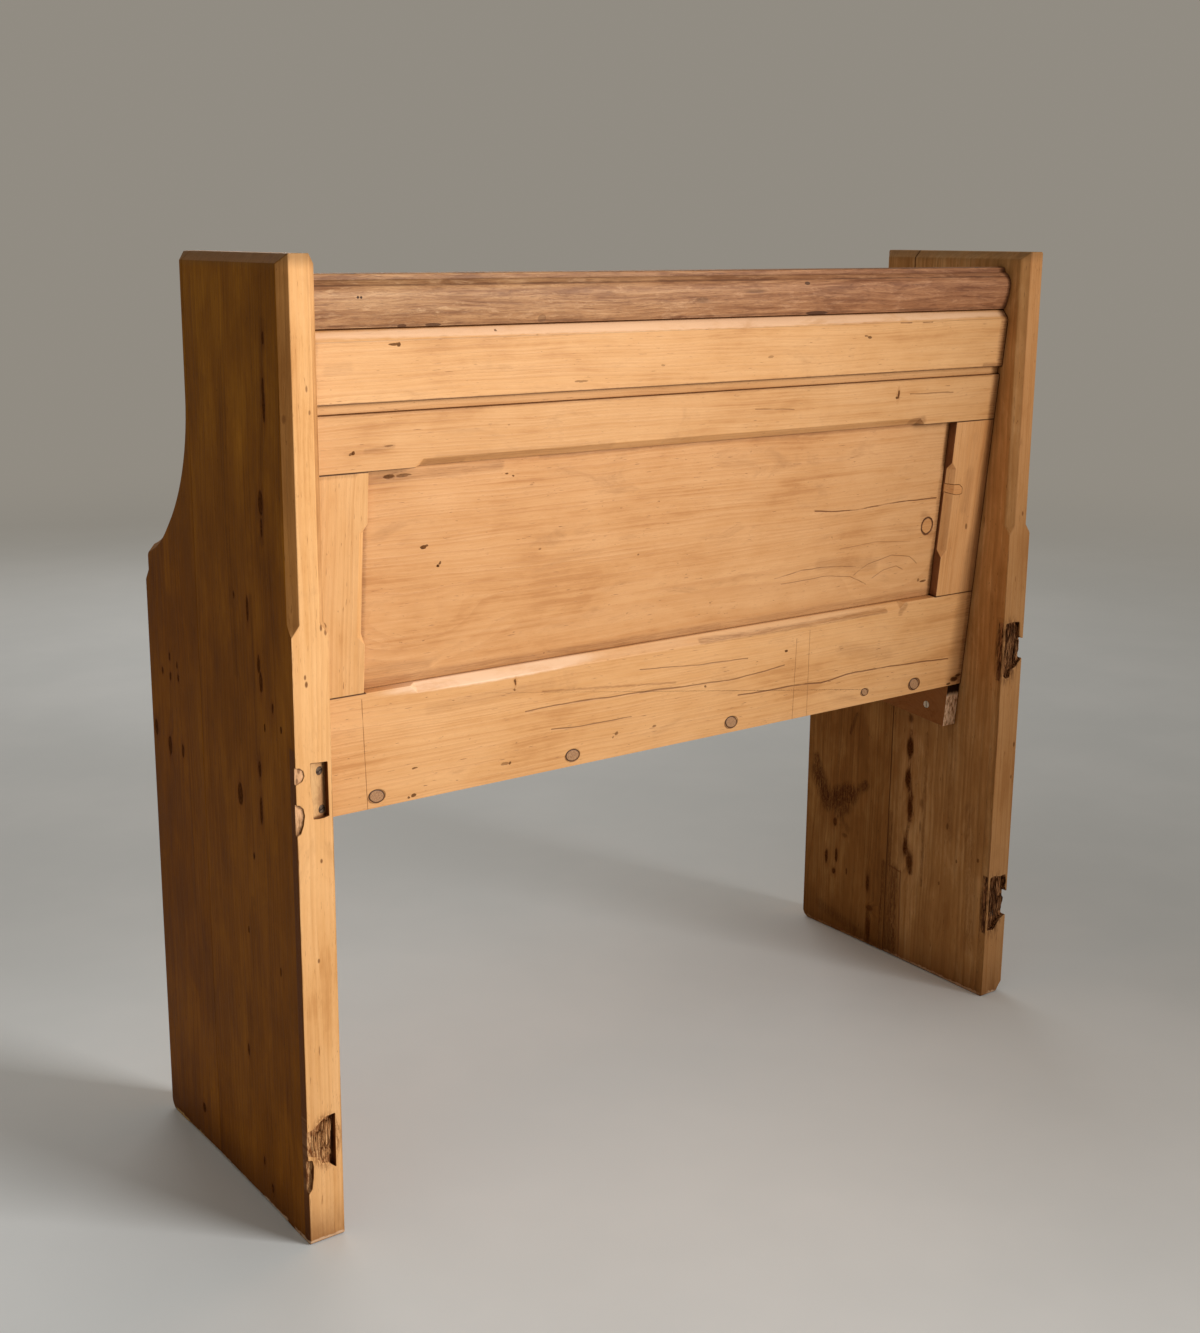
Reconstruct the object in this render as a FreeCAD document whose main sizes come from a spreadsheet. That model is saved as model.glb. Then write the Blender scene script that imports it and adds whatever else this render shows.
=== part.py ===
import FreeCAD, Part
import os
import math
import Sketcher
from FreeCAD import Vector, Placement, Rotation

# Pine bench with two solid slab ends, a raked panelled back and a plank seat.
# +Z is up, the sitter faces -Y, and the left end is at +X.
# The slab ends are drawn in (distance in front of the rear edge, height).
# The back and the seat are drawn square to each other in one raked frame:
# w runs forward from the rear face of the back, v runs up along the back.

doc = FreeCAD.newDocument("SlabEndBench")

# ---------------------------------------------------------------- dimensions
sheet = doc.addObject("Spreadsheet::Sheet", "Dims")
DIMS = [
    ("length", 1020.0), ("slab", 38.0), ("height", 960.0), ("depth", 342.0),
    ("top_left", 225.0), ("top_right", 235.0), ("mid_y", 187.36), ("joint_left", 209.0), ("joint_right", 180.0),
    ("chamfer", 9.0), ("stop_full", 628.0), ("stop_tip", 616.0),
    # front outline of the slab ends
    ("neck_z_left", 820.0), ("neck_rad_left", 180.0), ("neck_z_right", 795.8), ("neck_rad_right", 145.8), ("hip_y", 277.7), ("hip_z", 692.7),
    ("sweep_y", 285.0), ("sweep_z", 685.4), ("sweep_rad", 105.0),
    ("arm_y", 331.6), ("arm_z", 656.0), ("nose_rad", 14.0), ("nose_z", 642.5),
    ("toe_rad", 12.0), ("hollow_left", 3.5), ("hollow_right", 1.2),
    # raked frame
    ("rake", 5.0), ("pivot_y", 66.4), ("pivot_z", 413.0), ("housing", 6.0),
    ("frame", 28.0), ("panel_in", 12.0), ("panel_out", 20.0), ("groove", 9.0), ("tongue", 8.0),
    ("low_top", 124.5), ("mid_low", 346.0), ("mid_top", 401.5), ("top_top", 480.5),
    ("stile", 66.0), ("edge_cut", 8.5), ("stop_len", 9.5),
    ("proud", 2.0), ("strip", 10.0), ("strip_in", 4.0), ("bevel", 11.0),
    # capping rail
    ("cap_base", 4.8), ("cap_belly_v", 506.0), ("cap_quirk_w", 11.0), ("cap_quirk_v", 523.6),
    ("cap_step", 1.3), ("cap_top", 529.0), ("cap_w", 36.0),
    # seat and bearers
    ("seat", 24.0), ("seat_front", 310.0), ("seat_joint", 152.0),
    ("nose_top", 10.0), ("nose_low", 6.0),
    ("bearer", 22.0), ("bearer_deep", 56.0), ("bearer_end", 262.0), ("bearer_start", 0.6),
    # old fitting recesses in the rear edges
    ("recess", 8.0), ("recess_left", 6.7),
    # fastenings
    ("plug_half", 9.2), ("plug_rise", 6.8), ("plug_len", 8.0), ("plug_v", 12.5), ("small_half", 6.0), ("small_rise", 4.2),
    ("dowel_rad", 5.0), ("dowel_half", 30.0),
]
V = {}
for row, (alias, value) in enumerate(DIMS, start=1):
    sheet.set("A%d" % row, alias)
    sheet.set("B%d" % row, "%g" % value)
    sheet.setAlias("B%d" % row, alias)
    V[alias] = value
doc.recompute()


class Dim(object):
    """A number together with the sheet formula that gives it."""

    def __init__(self, value, text):
        self.value = float(value)
        self.text = text

    @staticmethod
    def of(other):
        return other if isinstance(other, Dim) else Dim(other, "%.6g" % other)

    def _join(self, other, sign, value):
        return Dim(value, "(%s %s %s)" % (self.text, sign, other.text))

    def __add__(self, other):
        o = Dim.of(other)
        return self._join(o, "+", self.value + o.value)

    def __radd__(self, other):
        return Dim.of(other) + self

    def __sub__(self, other):
        o = Dim.of(other)
        return self._join(o, "-", self.value - o.value)

    def __rsub__(self, other):
        return Dim.of(other) - self

    def __mul__(self, other):
        o = Dim.of(other)
        return self._join(o, "*", self.value * o.value)

    def __rmul__(self, other):
        return Dim.of(other) * self

    def __truediv__(self, other):
        o = Dim.of(other)
        return self._join(o, "/", self.value / o.value)

    def __neg__(self):
        return Dim(-self.value, "(0 - %s)" % self.text)


def D(alias):
    return Dim(V[alias], "Dims." + alias)


def val(x):
    return Dim.of(x).value


def bind(obj, prop, x):
    d = Dim.of(x)
    obj.setExpression(prop, d.text)


# ------------------------------------------------------------- build helpers
def base_plane(body, role):
    for feature in body.Origin.OriginFeatures:
        if feature.Role == role:
            return feature
    raise ValueError(role)


def new_body(name, x=0.0, y=0.0, z=0.0, raked=False):
    body = doc.addObject("PartDesign::Body", name)
    turn = Rotation(Vector(1, 0, 0), -V["rake"]) if raked else Rotation()
    body.Placement = Placement(Vector(val(x), val(y), val(z)), turn)
    bind(body, "Placement.Base.x", x)
    bind(body, "Placement.Base.y", y)
    bind(body, "Placement.Base.z", z)
    if raked:
        body.setExpression("Placement.Rotation.Angle", "0 - Dims.rake")
        body.setExpression("Placement.Rotation.Axis.x", "1")
    doc.recompute()
    return body


def raked_body(name, x):
    """A body of the back or seat: y = -w, z = v."""
    return new_body(name, x, D("mid_y") - D("pivot_y"), D("pivot_z"), raked=True)


def new_sketch(body, name, role, offset=None):
    sk = body.newObject("Sketcher::SketchObject", name)
    sk.AttachmentSupport = [(base_plane(body, role), "")]
    sk.MapMode = "FlatFace"
    if offset is not None:
        sk.AttachmentOffset = offset
    return sk


def outline(body, name, role, pts, arcs=None, offset=None):
    """Closed profile. pts are (x, y) sheet formulas; arcs[i] = (radius, bulge)
    makes side i an arc, bulge +1 when its centre lies to the left of the walk."""
    arcs = arcs or {}
    sk = new_sketch(body, name, role, offset)
    n = len(pts)
    xy = [Vector(val(p[0]), val(p[1]), 0) for p in pts]
    start_pos, end_pos = {}, {}
    for i in range(n):
        a, b = xy[i], xy[(i + 1) % n]
        if i in arcs:
            rad, side = arcs[i]
            r = val(rad)
            chord = b - a
            half = chord.Length / 2.0
            rise = math.sqrt(max(r * r - half * half, 0.0))
            left = Vector(-chord.y, chord.x, 0).normalize()
            centre = (a + b) * 0.5 + left * (rise * side)
            a0 = math.atan2(a.y - centre.y, a.x - centre.x)
            a1 = math.atan2(b.y - centre.y, b.x - centre.x)
            circle = Part.Circle(centre, Vector(0, 0, 1), r)
            if side > 0:
                sk.addGeometry(Part.ArcOfCircle(circle, a0, a1 if a1 > a0 else a1 + 2 * math.pi), False)
                start_pos[i], end_pos[i] = 1, 2
            else:
                sk.addGeometry(Part.ArcOfCircle(circle, a1, a0 if a0 > a1 else a0 + 2 * math.pi), False)
                start_pos[i], end_pos[i] = 2, 1
        else:
            sk.addGeometry(Part.LineSegment(a, b), False)
            start_pos[i], end_pos[i] = 1, 2
    for i in range(n):
        j = (i + 1) % n
        sk.addConstraint(Sketcher.Constraint("Coincident", i, end_pos[i], j, start_pos[j]))
    for i in range(n):
        for kind, k in (("DistanceX", 0), ("DistanceY", 1)):
            d = Dim.of(pts[i][k])
            idx = sk.addConstraint(Sketcher.Constraint(kind, -1, 1, i, start_pos[i], d.value))
            if "Dims." in d.text:
                sk.setExpression("Constraints[%d]" % idx, d.text)
    for i in arcs:
        d = Dim.of(arcs[i][0])
        idx = sk.addConstraint(Sketcher.Constraint("Radius", i, d.value))
        if "Dims." in d.text:
            sk.setExpression("Constraints[%d]" % idx, d.text)
    return sk


def rounds(body, name, role, spots, offset=None):
    """Circles: spots are (x, y, radius)."""
    sk = new_sketch(body, name, role, offset)
    for i, (cx, cy, rad) in enumerate(spots):
        sk.addGeometry(Part.Circle(Vector(val(cx), val(cy), 0), Vector(0, 0, 1), val(rad)), False)
        for kind, d in (("DistanceX", Dim.of(cx)), ("DistanceY", Dim.of(cy))):
            idx = sk.addConstraint(Sketcher.Constraint(kind, -1, 1, i, 3, d.value))
            if "Dims." in d.text:
                sk.setExpression("Constraints[%d]" % idx, d.text)
        d = Dim.of(rad)
        idx = sk.addConstraint(Sketcher.Constraint("Radius", i, d.value))
        if "Dims." in d.text:
            sk.setExpression("Constraints[%d]" % idx, d.text)
    return sk


def pad(body, sk, length, name, back=False):
    f = body.newObject("PartDesign::Pad", name)
    f.Profile = sk
    bind(f, "Length", length)
    f.Length = val(length)
    f.Reversed = back
    doc.recompute()
    return f


def pocket(body, sk, depth, name):
    """A cut to the given depth, turned to whichever side holds material."""
    doc.recompute()
    before = body.Shape.Volume
    least = Part.Face(Part.Wire(Part.__sortEdges__(sk.Shape.Edges))).Area * val(depth) * 0.04
    f = body.newObject("PartDesign::Pocket", name)
    f.Profile = sk
    bind(f, "Length", depth)
    f.Length = val(depth)
    doc.recompute()
    if "Invalid" in f.State or "Error" in f.State or before - body.Shape.Volume < least:
        f.Reversed = True
        doc.recompute()
    if before - body.Shape.Volume < least:
        raise ValueError("nothing cut by " + name)
    return f


def at(x, y, z=0.0, turn=0.0):
    return Placement(Vector(val(x), val(y), val(z)), Rotation(Vector(0, 0, 1), turn))


def ridge(body, name, kind, where, turn, low, high, low_tip, high_tip, reach, over=0.0):
    """A three-sided prism on an arris: its base is the chamfer face and its
    ridge is the arris. Cuts a stopped chamfer, or fills a chamfer back in."""
    f = body.newObject("PartDesign::%sWedge" % kind, name)
    half = val(reach) / math.sqrt(2.0)
    slope_low = (val(low) - val(low_tip)) / half
    slope_high = (val(high_tip) - val(high)) / half
    f.Xmin, f.Xmax = -(half + over), half + over
    f.Zmin, f.Zmax = val(low), val(high)
    f.Ymin, f.Ymax = 0.0, half + over
    f.X2min, f.X2max = 0.0, 0.0
    f.Z2min = val(low) - slope_low * (half + over)
    f.Z2max = val(high) + slope_high * (half + over)
    f.AttachmentSupport = [(base_plane(body, "XY_Plane"), "")]
    f.MapMode = "FlatFace"
    f.AttachmentOffset = Placement(where, turn)
    doc.recompute()
    return f


nodes = []          # (label, object)


def keep(obj, label):
    obj.Label = label
    nodes.append((label, obj))
    return obj


def cut(base, tool, label=None):
    f = doc.addObject("Part::Cut", "Cut")
    f.Base, f.Tool = base, tool
    doc.recompute()
    return keep(f, label) if label else f


def common(base, tool, label=None):
    f = doc.addObject("Part::Common", "Common")
    f.Base, f.Tool = base, tool
    doc.recompute()
    return keep(f, label) if label else f


def group(shapes, label, final=True):
    f = doc.addObject("Part::Feature", label)
    f.Shape = Part.makeCompound(shapes)
    doc.recompute()
    return keep(f, label) if final else f


half_in = D("length") / 2 - D("slab")              # inner face of an end
half_frame = half_in + D("housing")                # housed ends of the rails
tilt = Rotation(Vector(1, 0, 0), -V["rake"])
origin = Vector(0, V["mid_y"] - V["pivot_y"], V["pivot_z"])


def raked_point(x, w, v):
    return origin + tilt.multVec(Vector(x, -w, v))


def raked_dir(x, w, v):
    return tilt.multVec(Vector(x, -w, v))


# ------------------------------------------------------------- fastenings
def screw(head, length, point, direction, shank):
    """Slotted countersunk wood screw, head at the point, along direction."""
    body = Part.makeCone(head, shank, head * 0.9, Vector(0, 0, 0.35), Vector(0, 0, 1))
    body = body.fuse(Part.makeCylinder(head, 0.35))
    body = body.fuse(Part.makeCylinder(shank, length * 0.55, Vector(0, 0, 0.3)))
    body = body.fuse(Part.makeCone(shank, shank * 0.3, length * 0.45, Vector(0, 0, length * 0.55)))
    slot = Part.makeBox(head * 2.2, head * 0.24, head * 0.28, Vector(-head * 1.1, -head * 0.12, 0))
    body = body.cut(slot).removeSplitter()
    body.Placement = Placement(point, Rotation(Vector(0, 0, 1), direction))
    return body


def screw_hole(head, length, point, direction, shank):
    """The seat that the screw above has bored for itself, slot filled."""
    body = Part.makeCone(head, shank, head * 0.9, Vector(0, 0, 0.35), Vector(0, 0, 1))
    body = body.fuse(Part.makeCylinder(head, 0.35))
    body = body.fuse(Part.makeCylinder(shank, length * 0.55, Vector(0, 0, 0.3)))
    body = body.fuse(Part.makeCone(shank, shank * 0.3, length * 0.45, Vector(0, 0, length * 0.55)))
    body.Placement = Placement(point, Rotation(Vector(0, 0, 1), direction))
    return body


def nail(head, shank, length, point, direction):
    body = Part.makeCylinder(head, 1.6).fuse(Part.makeCylinder(shank, length - 6.0))
    body = body.fuse(Part.makeCone(shank, shank * 0.25, 6.0, Vector(0, 0, length - 6.0)))
    body = body.removeSplitter()
    body.Placement = Placement(point, Rotation(Vector(0, 0, 1), direction))
    return body


# oval plugs over the screws that hold the bottom rail to the seat, each tilted its own way
plug_spots = [(389.0, "plug", 18.0), (146.7, "plug", 8.0), (-80.1, "plug", 24.0), (-296.6, "small", 30.0), (-384.5, "plug", 35.0)]
plugs, seat_screws, seat_screw_holes = [], [], []
for px, size, lean in plug_spots:
    pv = V["plug_v"] + (3.0 if size == "small" else 0.0)
    axis = raked_dir(0, 1, 0)
    half, rise = V[size + "_half"], V[size + "_rise"]
    ca, sa = math.cos(math.radians(lean)), math.sin(math.radians(lean))
    oval = Part.Ellipse(raked_point(px + half * ca, 0, pv + half * sa), raked_point(px - rise * sa, 0, pv + rise * ca),
                        raked_point(px, 0, pv))
    plugs.append(Part.Face(Part.Wire([oval.toShape()])).extrude(axis * V["plug_len"]))
    hr = 4.6 if size == "plug" else 3.6
    args = (hr, 50.0, raked_point(px, V["plug_len"], pv), axis, 2.2)
    seat_screws.append(screw(*args))
    seat_screw_holes.append(screw_hole(*args))
plug_node = group(plugs, "seat_screw_plugs")
seat_screw_node = group(seat_screws, "seat_screws")
seat_screw_tool = group([s.fuse(p) for s, p in zip(seat_screw_holes, plugs)], "seat_screw_bores", False)

bearer_tools, bearer_nodes = {}, {}
for side, sx in (("left", 1.0), ("right", -1.0)):
    solid, holes = [], []
    for w, v in ((33.0, -36.0), (128.0, -24.0), (226.0, -34.0)):
        p = raked_point(sx * (val(half_in) - V["bearer"]), w, v)
        args = (4.6, 38.0, p, Vector(sx, 0, 0), 2.3)
        solid.append(screw(*args))
        holes.append(screw_hole(*args))
    bearer_nodes[side] = group(solid, side + "_bearer_screws")
    bearer_tools[side] = group(holes, side + "_bearer_bores", False)

dowel_tools = {}
for side, sx in (("left", 1.0), ("right", -1.0)):
    x = sx * (val(half_in) + V["slab"] / 2.0)
    pins = []
    for z in (64.0, 236.0, 330.0, 560.0):
        start = Vector(x, V["mid_y"] - V["joint_" + side] + V["dowel_half"], z)
        pins.append(Part.makeCylinder(V["dowel_rad"], 2 * V["dowel_half"], start, Vector(0, -1, 0)))
    dowel_tools[side] = group(pins, side + "_end_dowels")

cap_nails = [nail(2.4, 1.4, 66.0, raked_point(x, 16.0, V["cap_top"]), raked_dir(0, 0, -1))
             for x in (418.0, 140.0, -146.0, -425.0)]
cap_nail_node = group(cap_nails, "capping_rail_nails")
seat_nails = []
for sx in (1.0, -1.0):
    for w in (62.0, 118.0, 190.0, 244.0):
        seat_nails.append(nail(2.8, 1.6, 52.0, raked_point(sx * (val(half_in) - V["bearer"] / 2.0), w, V["seat"]),
                               raked_dir(0, 0, -1)))
seat_nail_node = group(seat_nails, "seat_nails")

rear_y = V["mid_y"]
# (x, height, depth of the floor there, direction), square to the sloping floor on the left
lean = math.atan((V["recess_left"] - 0.8) / 18.5)
left_old = [(val(half_in) + x, z, V["recess_left"] - (x - 4.5) * math.tan(lean), Vector(math.sin(lean), -math.cos(lean), 0))
            for x, z in ((11.2, 485.5), (9.2, 447.2))]
right_old = [(-(val(half_in) + 19.5), 110.5, V["recess"], Vector(0, -1, 0))]
old_nodes, old_tools = {}, {}
for side, spots in (("left", left_old), ("right", right_old)):
    solid, holes = [], []
    for x, z, deep, way in spots:
        args = (4.0, 26.0, Vector(x, rear_y - deep, z), way, 2.2)
        solid.append(screw(*args))
        holes.append(screw_hole(*args))
    old_nodes[side] = group(solid, side + "_recess_screws")
    old_tools[side] = group(holes, side + "_recess_bores", False)


# ------------------------------------------------------------- slab ends
def back_housing(body, name, depth_place, w_front):
    """Housing for the raked back, cut to the section of its rails."""
    pts = [(0.0, 0.0), (0.0, D("mid_top")), (-D("strip_in"), D("mid_top")),
           (-D("strip_in"), D("mid_top") + D("strip")), (D("proud"), D("mid_top") + D("strip")),
           (D("proud"), D("top_top") - D("bevel")), (-(D("bevel") - D("proud")), D("top_top")),
           (-w_front, D("top_top")), (-w_front, 0.0)]
    sk = outline(body, name + "_sketch", "YZ_Plane", pts,
                 offset=Placement(Vector(-V["pivot_y"], V["pivot_z"], depth_place), Rotation(Vector(0, 0, 1), -V["rake"])))
    pocket(body, sk, D("housing"), name)


def seat_housing(body, name, depth_place):
    pts = [(-D("frame") + 1.0, 0.0), (-D("frame") + 1.0, D("seat")),
           (-D("seat_front") - 20.0, D("seat")), (-D("seat_front") - 20.0, 0.0)]
    sk = outline(body, name + "_sketch", "YZ_Plane", pts,
                 offset=Placement(Vector(-V["pivot_y"], V["pivot_z"], depth_place), Rotation(Vector(0, 0, 1), -V["rake"])))
    pocket(body, sk, D("housing"), name)


def long_edges(shape, test):
    return ["Edge%d" % (i + 1) for i, e in enumerate(shape.Edges) if test(e)]


def edge_chamfer(body, feature, names, label):
    f = body.newObject("PartDesign::Chamfer", label)
    f.Base = (feature, names)
    bind(f, "Size", D("chamfer"))
    f.Size = V["chamfer"]
    doc.recompute()
    return f


# Recesses of lost fittings in the rear edges. Each is a ring of (across the edge, height)
# and a floor: (across, depth) points. Across runs from the left end's inner face, or from
# the right end's outer face, towards +X.
R, L = V["recess"], V["recess_left"]
recesses = {
    "left": [
        ("upper", [(4.4, 441.0), (4.8, 494.6), (14.0, 495.0), (22.4, 495.8), (22.8, 480.0), (21.6, 462.0),
                   (20.4, 450.0), (20.6, 440.4), (15.0, 439.6), (9.0, 439.8)],
         [(0.0, L + 1.4), (4.5, L), (23.0, 0.8), (38.0, 0.7)]),
        ("lower", [(7.6, 76.4), (7.2, 134.4), (17.5, 133.4), (21.5, 131.0), (26.6, 127.0), (31.0, 123.6),
                   (37.0, 122.6), (39.0, 121.0), (39.0, 98.0), (33.5, 95.0), (29.0, 93.0), (22.0, 84.5), (15.0, 83.2), (12.0, 80.0)],
         [(0.0, L), (10.0, L), (14.0, 4.2), (20.0, 3.0), (27.0, 1.6), (39.0, 1.0)]),
        ("chip_a", [(39.0, 493.4), (33.6, 492.6), (30.0, 489.4), (29.0, 484.4), (31.6, 479.4), (39.0, 476.4)],
         [(0.0, 1.2), (29.0, 1.2), (33.0, 1.8), (39.0, 3.0)]),
        ("chip_b", [(39.0, 457.6), (34.6, 456.6), (31.0, 452.6), (29.8, 446.0), (31.2, 436.4), (34.4, 428.4), (39.0, 426.0)],
         [(0.0, 1.4), (29.0, 1.4), (33.0, 2.4), (39.0, 3.8)]),
        ("chip_c", [(39.0, 92.4), (33.4, 91.0), (31.8, 84.0), (32.6, 72.0), (34.2, 60.6), (39.0, 54.4)],
         [(0.0, 3.0), (39.0, 4.4)])],
    "right": [
        ("upper", [(33.8, 436.0), (33.8, 503.0), (20.0, 504.0), (8.4, 503.0), (7.6, 494.0), (7.8, 485.0), (4.2, 482.0), (-1.0, 480.4),
                   (-1.0, 457.0), (3.0, 452.6), (9.4, 446.0), (13.6, 443.6), (20.0, 442.0), (22.0, 433.0), (28.0, 431.4)],
         [(-1.0, R - 1.0), (12.0, R - 2.4), (22.0, R - 3.2), (26.0, R - 1.2), (28.5, R + 1.5), (38.0, R + 1.5)]),
        ("lower", [(33.8, 92.0), (33.4, 164.4), (26.0, 165.6), (14.0, 163.0), (5.0, 164.0), (2.6, 154.0), (4.2, 147.0), (2.0, 141.0),
                   (-1.0, 139.0), (-1.0, 108.0), (5.0, 105.4), (11.0, 103.0), (16.0, 97.0), (22.0, 90.6)],
         [(-1.0, R), (10.0, R - 1.4), (13.0, R), (24.0, R), (27.0, R + 1.5), (38.0, R + 1.5)])]}


def recess_tool(side, tag, ring, floor):
    """The ring driven in to the deepest level, less what stands below the sloping floor."""
    x0 = val(half_in) if side == "left" else -val(half_in) - V["slab"]
    edge = V["mid_y"]
    pts = [Vector(x0 + x, edge + 1.0, z) for x, z in ring]
    column = Part.Face(Part.makePolygon(pts + [pts[0]])).extrude(Vector(0, -14.0, 0))
    z0, z1 = min(z for _, z in ring) - 2.0, max(z for _, z in ring) + 2.0
    prof = [Vector(x0 + x, edge - d, z0) for x, d in floor]
    prof = [Vector(prof[0].x - 3.0, prof[0].y, z0)] + prof + [Vector(prof[-1].x + 3.0, prof[-1].y, z0)]
    prof += [Vector(prof[-1].x, edge + 2.0, z0), Vector(prof[0].x, edge + 2.0, z0)]
    slope = Part.Face(Part.makePolygon(prof + [prof[0]])).extrude(Vector(0, 0, z1 - z0))
    return group([column.common(slope).Solids[0]], "%s_%s_recess_tool" % (side, tag), False)


def broken_corner():
    """The lost corner where the right end's outer face, rear edge and foot meet."""
    x0, edge = -val(half_in) - V["slab"], V["mid_y"]
    a, b, c, d = (Vector(x0 - 2.0, edge + 2.0, -2.0), Vector(x0 + 13.0, edge + 2.0, -2.0),
                  Vector(x0 - 2.0, edge - 42.0, -2.0), Vector(x0 - 2.0, edge + 2.0, 17.0))
    faces = [Part.Face(Part.makePolygon([p, q, r, p])) for p, q, r in ((a, b, c), (a, b, d), (a, c, d), (b, c, d))]
    return group([Part.makeSolid(Part.makeShell(faces))], "broken_corner_tool", False)


def rear_board(side):
    sx = 1.0 if side == "left" else -1.0
    joint, hollow = D("joint_" + side), D("hollow_" + side)
    body = new_body(side + "_rear_body", half_in if sx > 0 else -half_in - D("slab"), D("mid_y"), 0.0)
    pts = [(0.0, 2.0), (-2.0, 0.0), (-32.0, 0.0), (-70.0, hollow * 0.75), (-joint, hollow),
           (-joint, D("height")), (0.0, D("height"))]
    sk = outline(body, side + "_rear_outline", "YZ_Plane", pts)
    board = pad(body, sk, D("slab"), side + "_rear_pad")
    T = V["slab"]
    top = long_edges(board.Shape, lambda e: all(abs(v.Point.z - V["height"]) < 1e-6 for v in e.Vertexes)
                     and abs(e.Vertexes[0].Point.y - e.Vertexes[-1].Point.y) > 1.0)
    edge_chamfer(body, board, top, side + "_rear_top_chamfer")
    c2 = V["chamfer"] / 2.0
    for tag, x, turn in (("a", c2, 45.0), ("b", T - c2, -45.0)):
        ridge(body, "%s_rear_stopped_%s" % (side, tag), "Subtractive", Vector(x, -c2, 0),
              Rotation(Vector(0, 0, 1), turn), D("stop_full"), D("height") + 20.0,
              D("stop_tip"), D("height") + 20.0, D("chamfer"), over=1.0)
    inner = 0.0 if sx > 0 else T
    back_housing(body, side + "_rear_back_housing", inner, D("frame"))
    seat_housing(body, side + "_rear_seat_housing", inner)
    f = body
    for tag, ring, floor in recesses[side]:
        f = cut(f, recess_tool(side, tag, ring, floor))
    if side == "right":
        f = cut(f, broken_corner())
    f = cut(f, dowel_tools[side])
    f = cut(f, old_tools[side])
    return cut(f, bearer_tools[side], side + "_end_rear_board")


def front_board(side):
    sx = 1.0 if side == "left" else -1.0
    joint, hollow = D("joint_" + side), D("hollow_" + side)
    body = new_body(side + "_front_body", half_in if sx > 0 else -half_in - D("slab"), D("mid_y"), 0.0)
    drop = V["nose_rad"]
    pts = [(-joint, D("height")), (-joint, hollow), (-D("depth") + 52.0, hollow * 0.45), (-D("depth") + 40.0, 0.0),
           (-D("depth"), 0.0), (-D("depth"), D("nose_z")), (-D("arm_y"), D("arm_z")),
           (-D("sweep_y"), D("sweep_z")), (-D("hip_y"), D("hip_z")), (-D("top_" + side), D("neck_z_" + side)),
           (-D("top_" + side), D("height"))]
    arcs = {5: (D("nose_rad"), -1), 6: (D("sweep_rad"), 1), 8: (D("neck_rad_" + side), 1)}
    sk = outline(body, side + "_front_outline", "YZ_Plane", pts, arcs)
    board = pad(body, sk, D("slab"), side + "_front_pad")
    T = V["slab"]
    yj, yt = -V["joint_" + side], -V["top_" + side]

    def wanted(e):
        mid = e.valueAt((e.FirstParameter + e.LastParameter) / 2.0)
        on_face = all(abs(v.Point.x) < 1e-6 for v in e.Vertexes) or all(abs(v.Point.x - T) < 1e-6 for v in e.Vertexes)
        if not on_face:
            return False
        if abs(mid.z - V["height"]) < 1e-6:
            return True
        return mid.y < yt + 0.5 and mid.z > 60.0

    names = long_edges(board.Shape, wanted)
    edge_chamfer(body, board, names, side + "_front_chamfer")
    c2 = V["chamfer"] / 2.0
    yf = -V["depth"]
    for tag, x, turn in (("a", c2, 135.0), ("b", T - c2, -135.0)):
        ridge(body, "%s_front_restored_%s" % (side, tag), "Additive", Vector(x, yf + c2, 0),
              Rotation(Vector(0, 0, 1), turn), 0.0, D("stop_full"), 0.0, D("stop_tip"), D("chamfer"))
    sk = outline(body, side + "_toe", "YZ_Plane",
                 [(-D("depth") - 2.0, -2.0), (-D("depth") + D("toe_rad"), -2.0), (-D("depth") + D("toe_rad"), 0.0),
                  (-D("depth"), D("toe_rad")), (-D("depth") - 2.0, D("toe_rad"))], {2: (D("toe_rad"), -1)})
    pocket(body, sk, D("slab"), side + "_toe_cut")
    inner = 0.0 if sx > 0 else T
    seat_housing(body, side + "_front_seat_housing", inner)
    f = cut(body, dowel_tools[side])
    return cut(f, bearer_tools[side], side + "_end_front_board")


for end_side in ("left", "right"):
    rear_board(end_side)
    front_board(end_side)


# ------------------------------------------------------------- back frame
def rail(name, pts, arcs=None):
    body = raked_body(name + "_body", -half_frame)
    sk = outline(body, name + "_section", "YZ_Plane", pts, arcs)
    pad(body, sk, half_frame * 2, name + "_pad")
    return body


def stopped_chamfer(body, name, edge_v, first_x, last_x, face_down):
    """Stopped chamfer along X on the rear arris of a rail. first_x and last_x are
    the ends of the full section, in the body's own x."""
    c = V["edge_cut"]
    h = c / math.sqrt(2.0)
    f = body.newObject("PartDesign::SubtractiveWedge", name)
    over = 1.0
    slope = V["stop_len"] / h
    f.Xmin, f.Xmax = -(h + over), h + over
    f.Zmin, f.Zmax = first_x, last_x
    f.Ymin, f.Ymax = 0.0, h + over
    f.X2min, f.X2max = 0.0, 0.0
    f.Z2min, f.Z2max = first_x - slope * (h + over), last_x + slope * (h + over)
    # wedge Z runs along +X, wedge Y points from the chamfer face to the arris
    f.AttachmentSupport = [(base_plane(body, "XY_Plane"), "")]
    f.MapMode = "FlatFace"
    q = Vector(0, 1, -1 if face_down else 1).normalize()
    z_axis = Vector(1, 0, 0)
    x_axis = q.cross(z_axis)
    turn = Rotation(x_axis, q, z_axis, "ZXY")
    f.AttachmentOffset = Placement(Vector(0, -c / 2.0, edge_v + (c / 2.0 if face_down else -c / 2.0)), turn)
    doc.recompute()
    return f


fr, pin, pout, gr, tg = D("frame"), D("panel_in"), D("panel_out"), D("groove"), D("tongue")
low, midl, midt, topt = D("low_top"), D("mid_low"), D("mid_top"), D("top_top")
hx = val(half_frame)

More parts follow.
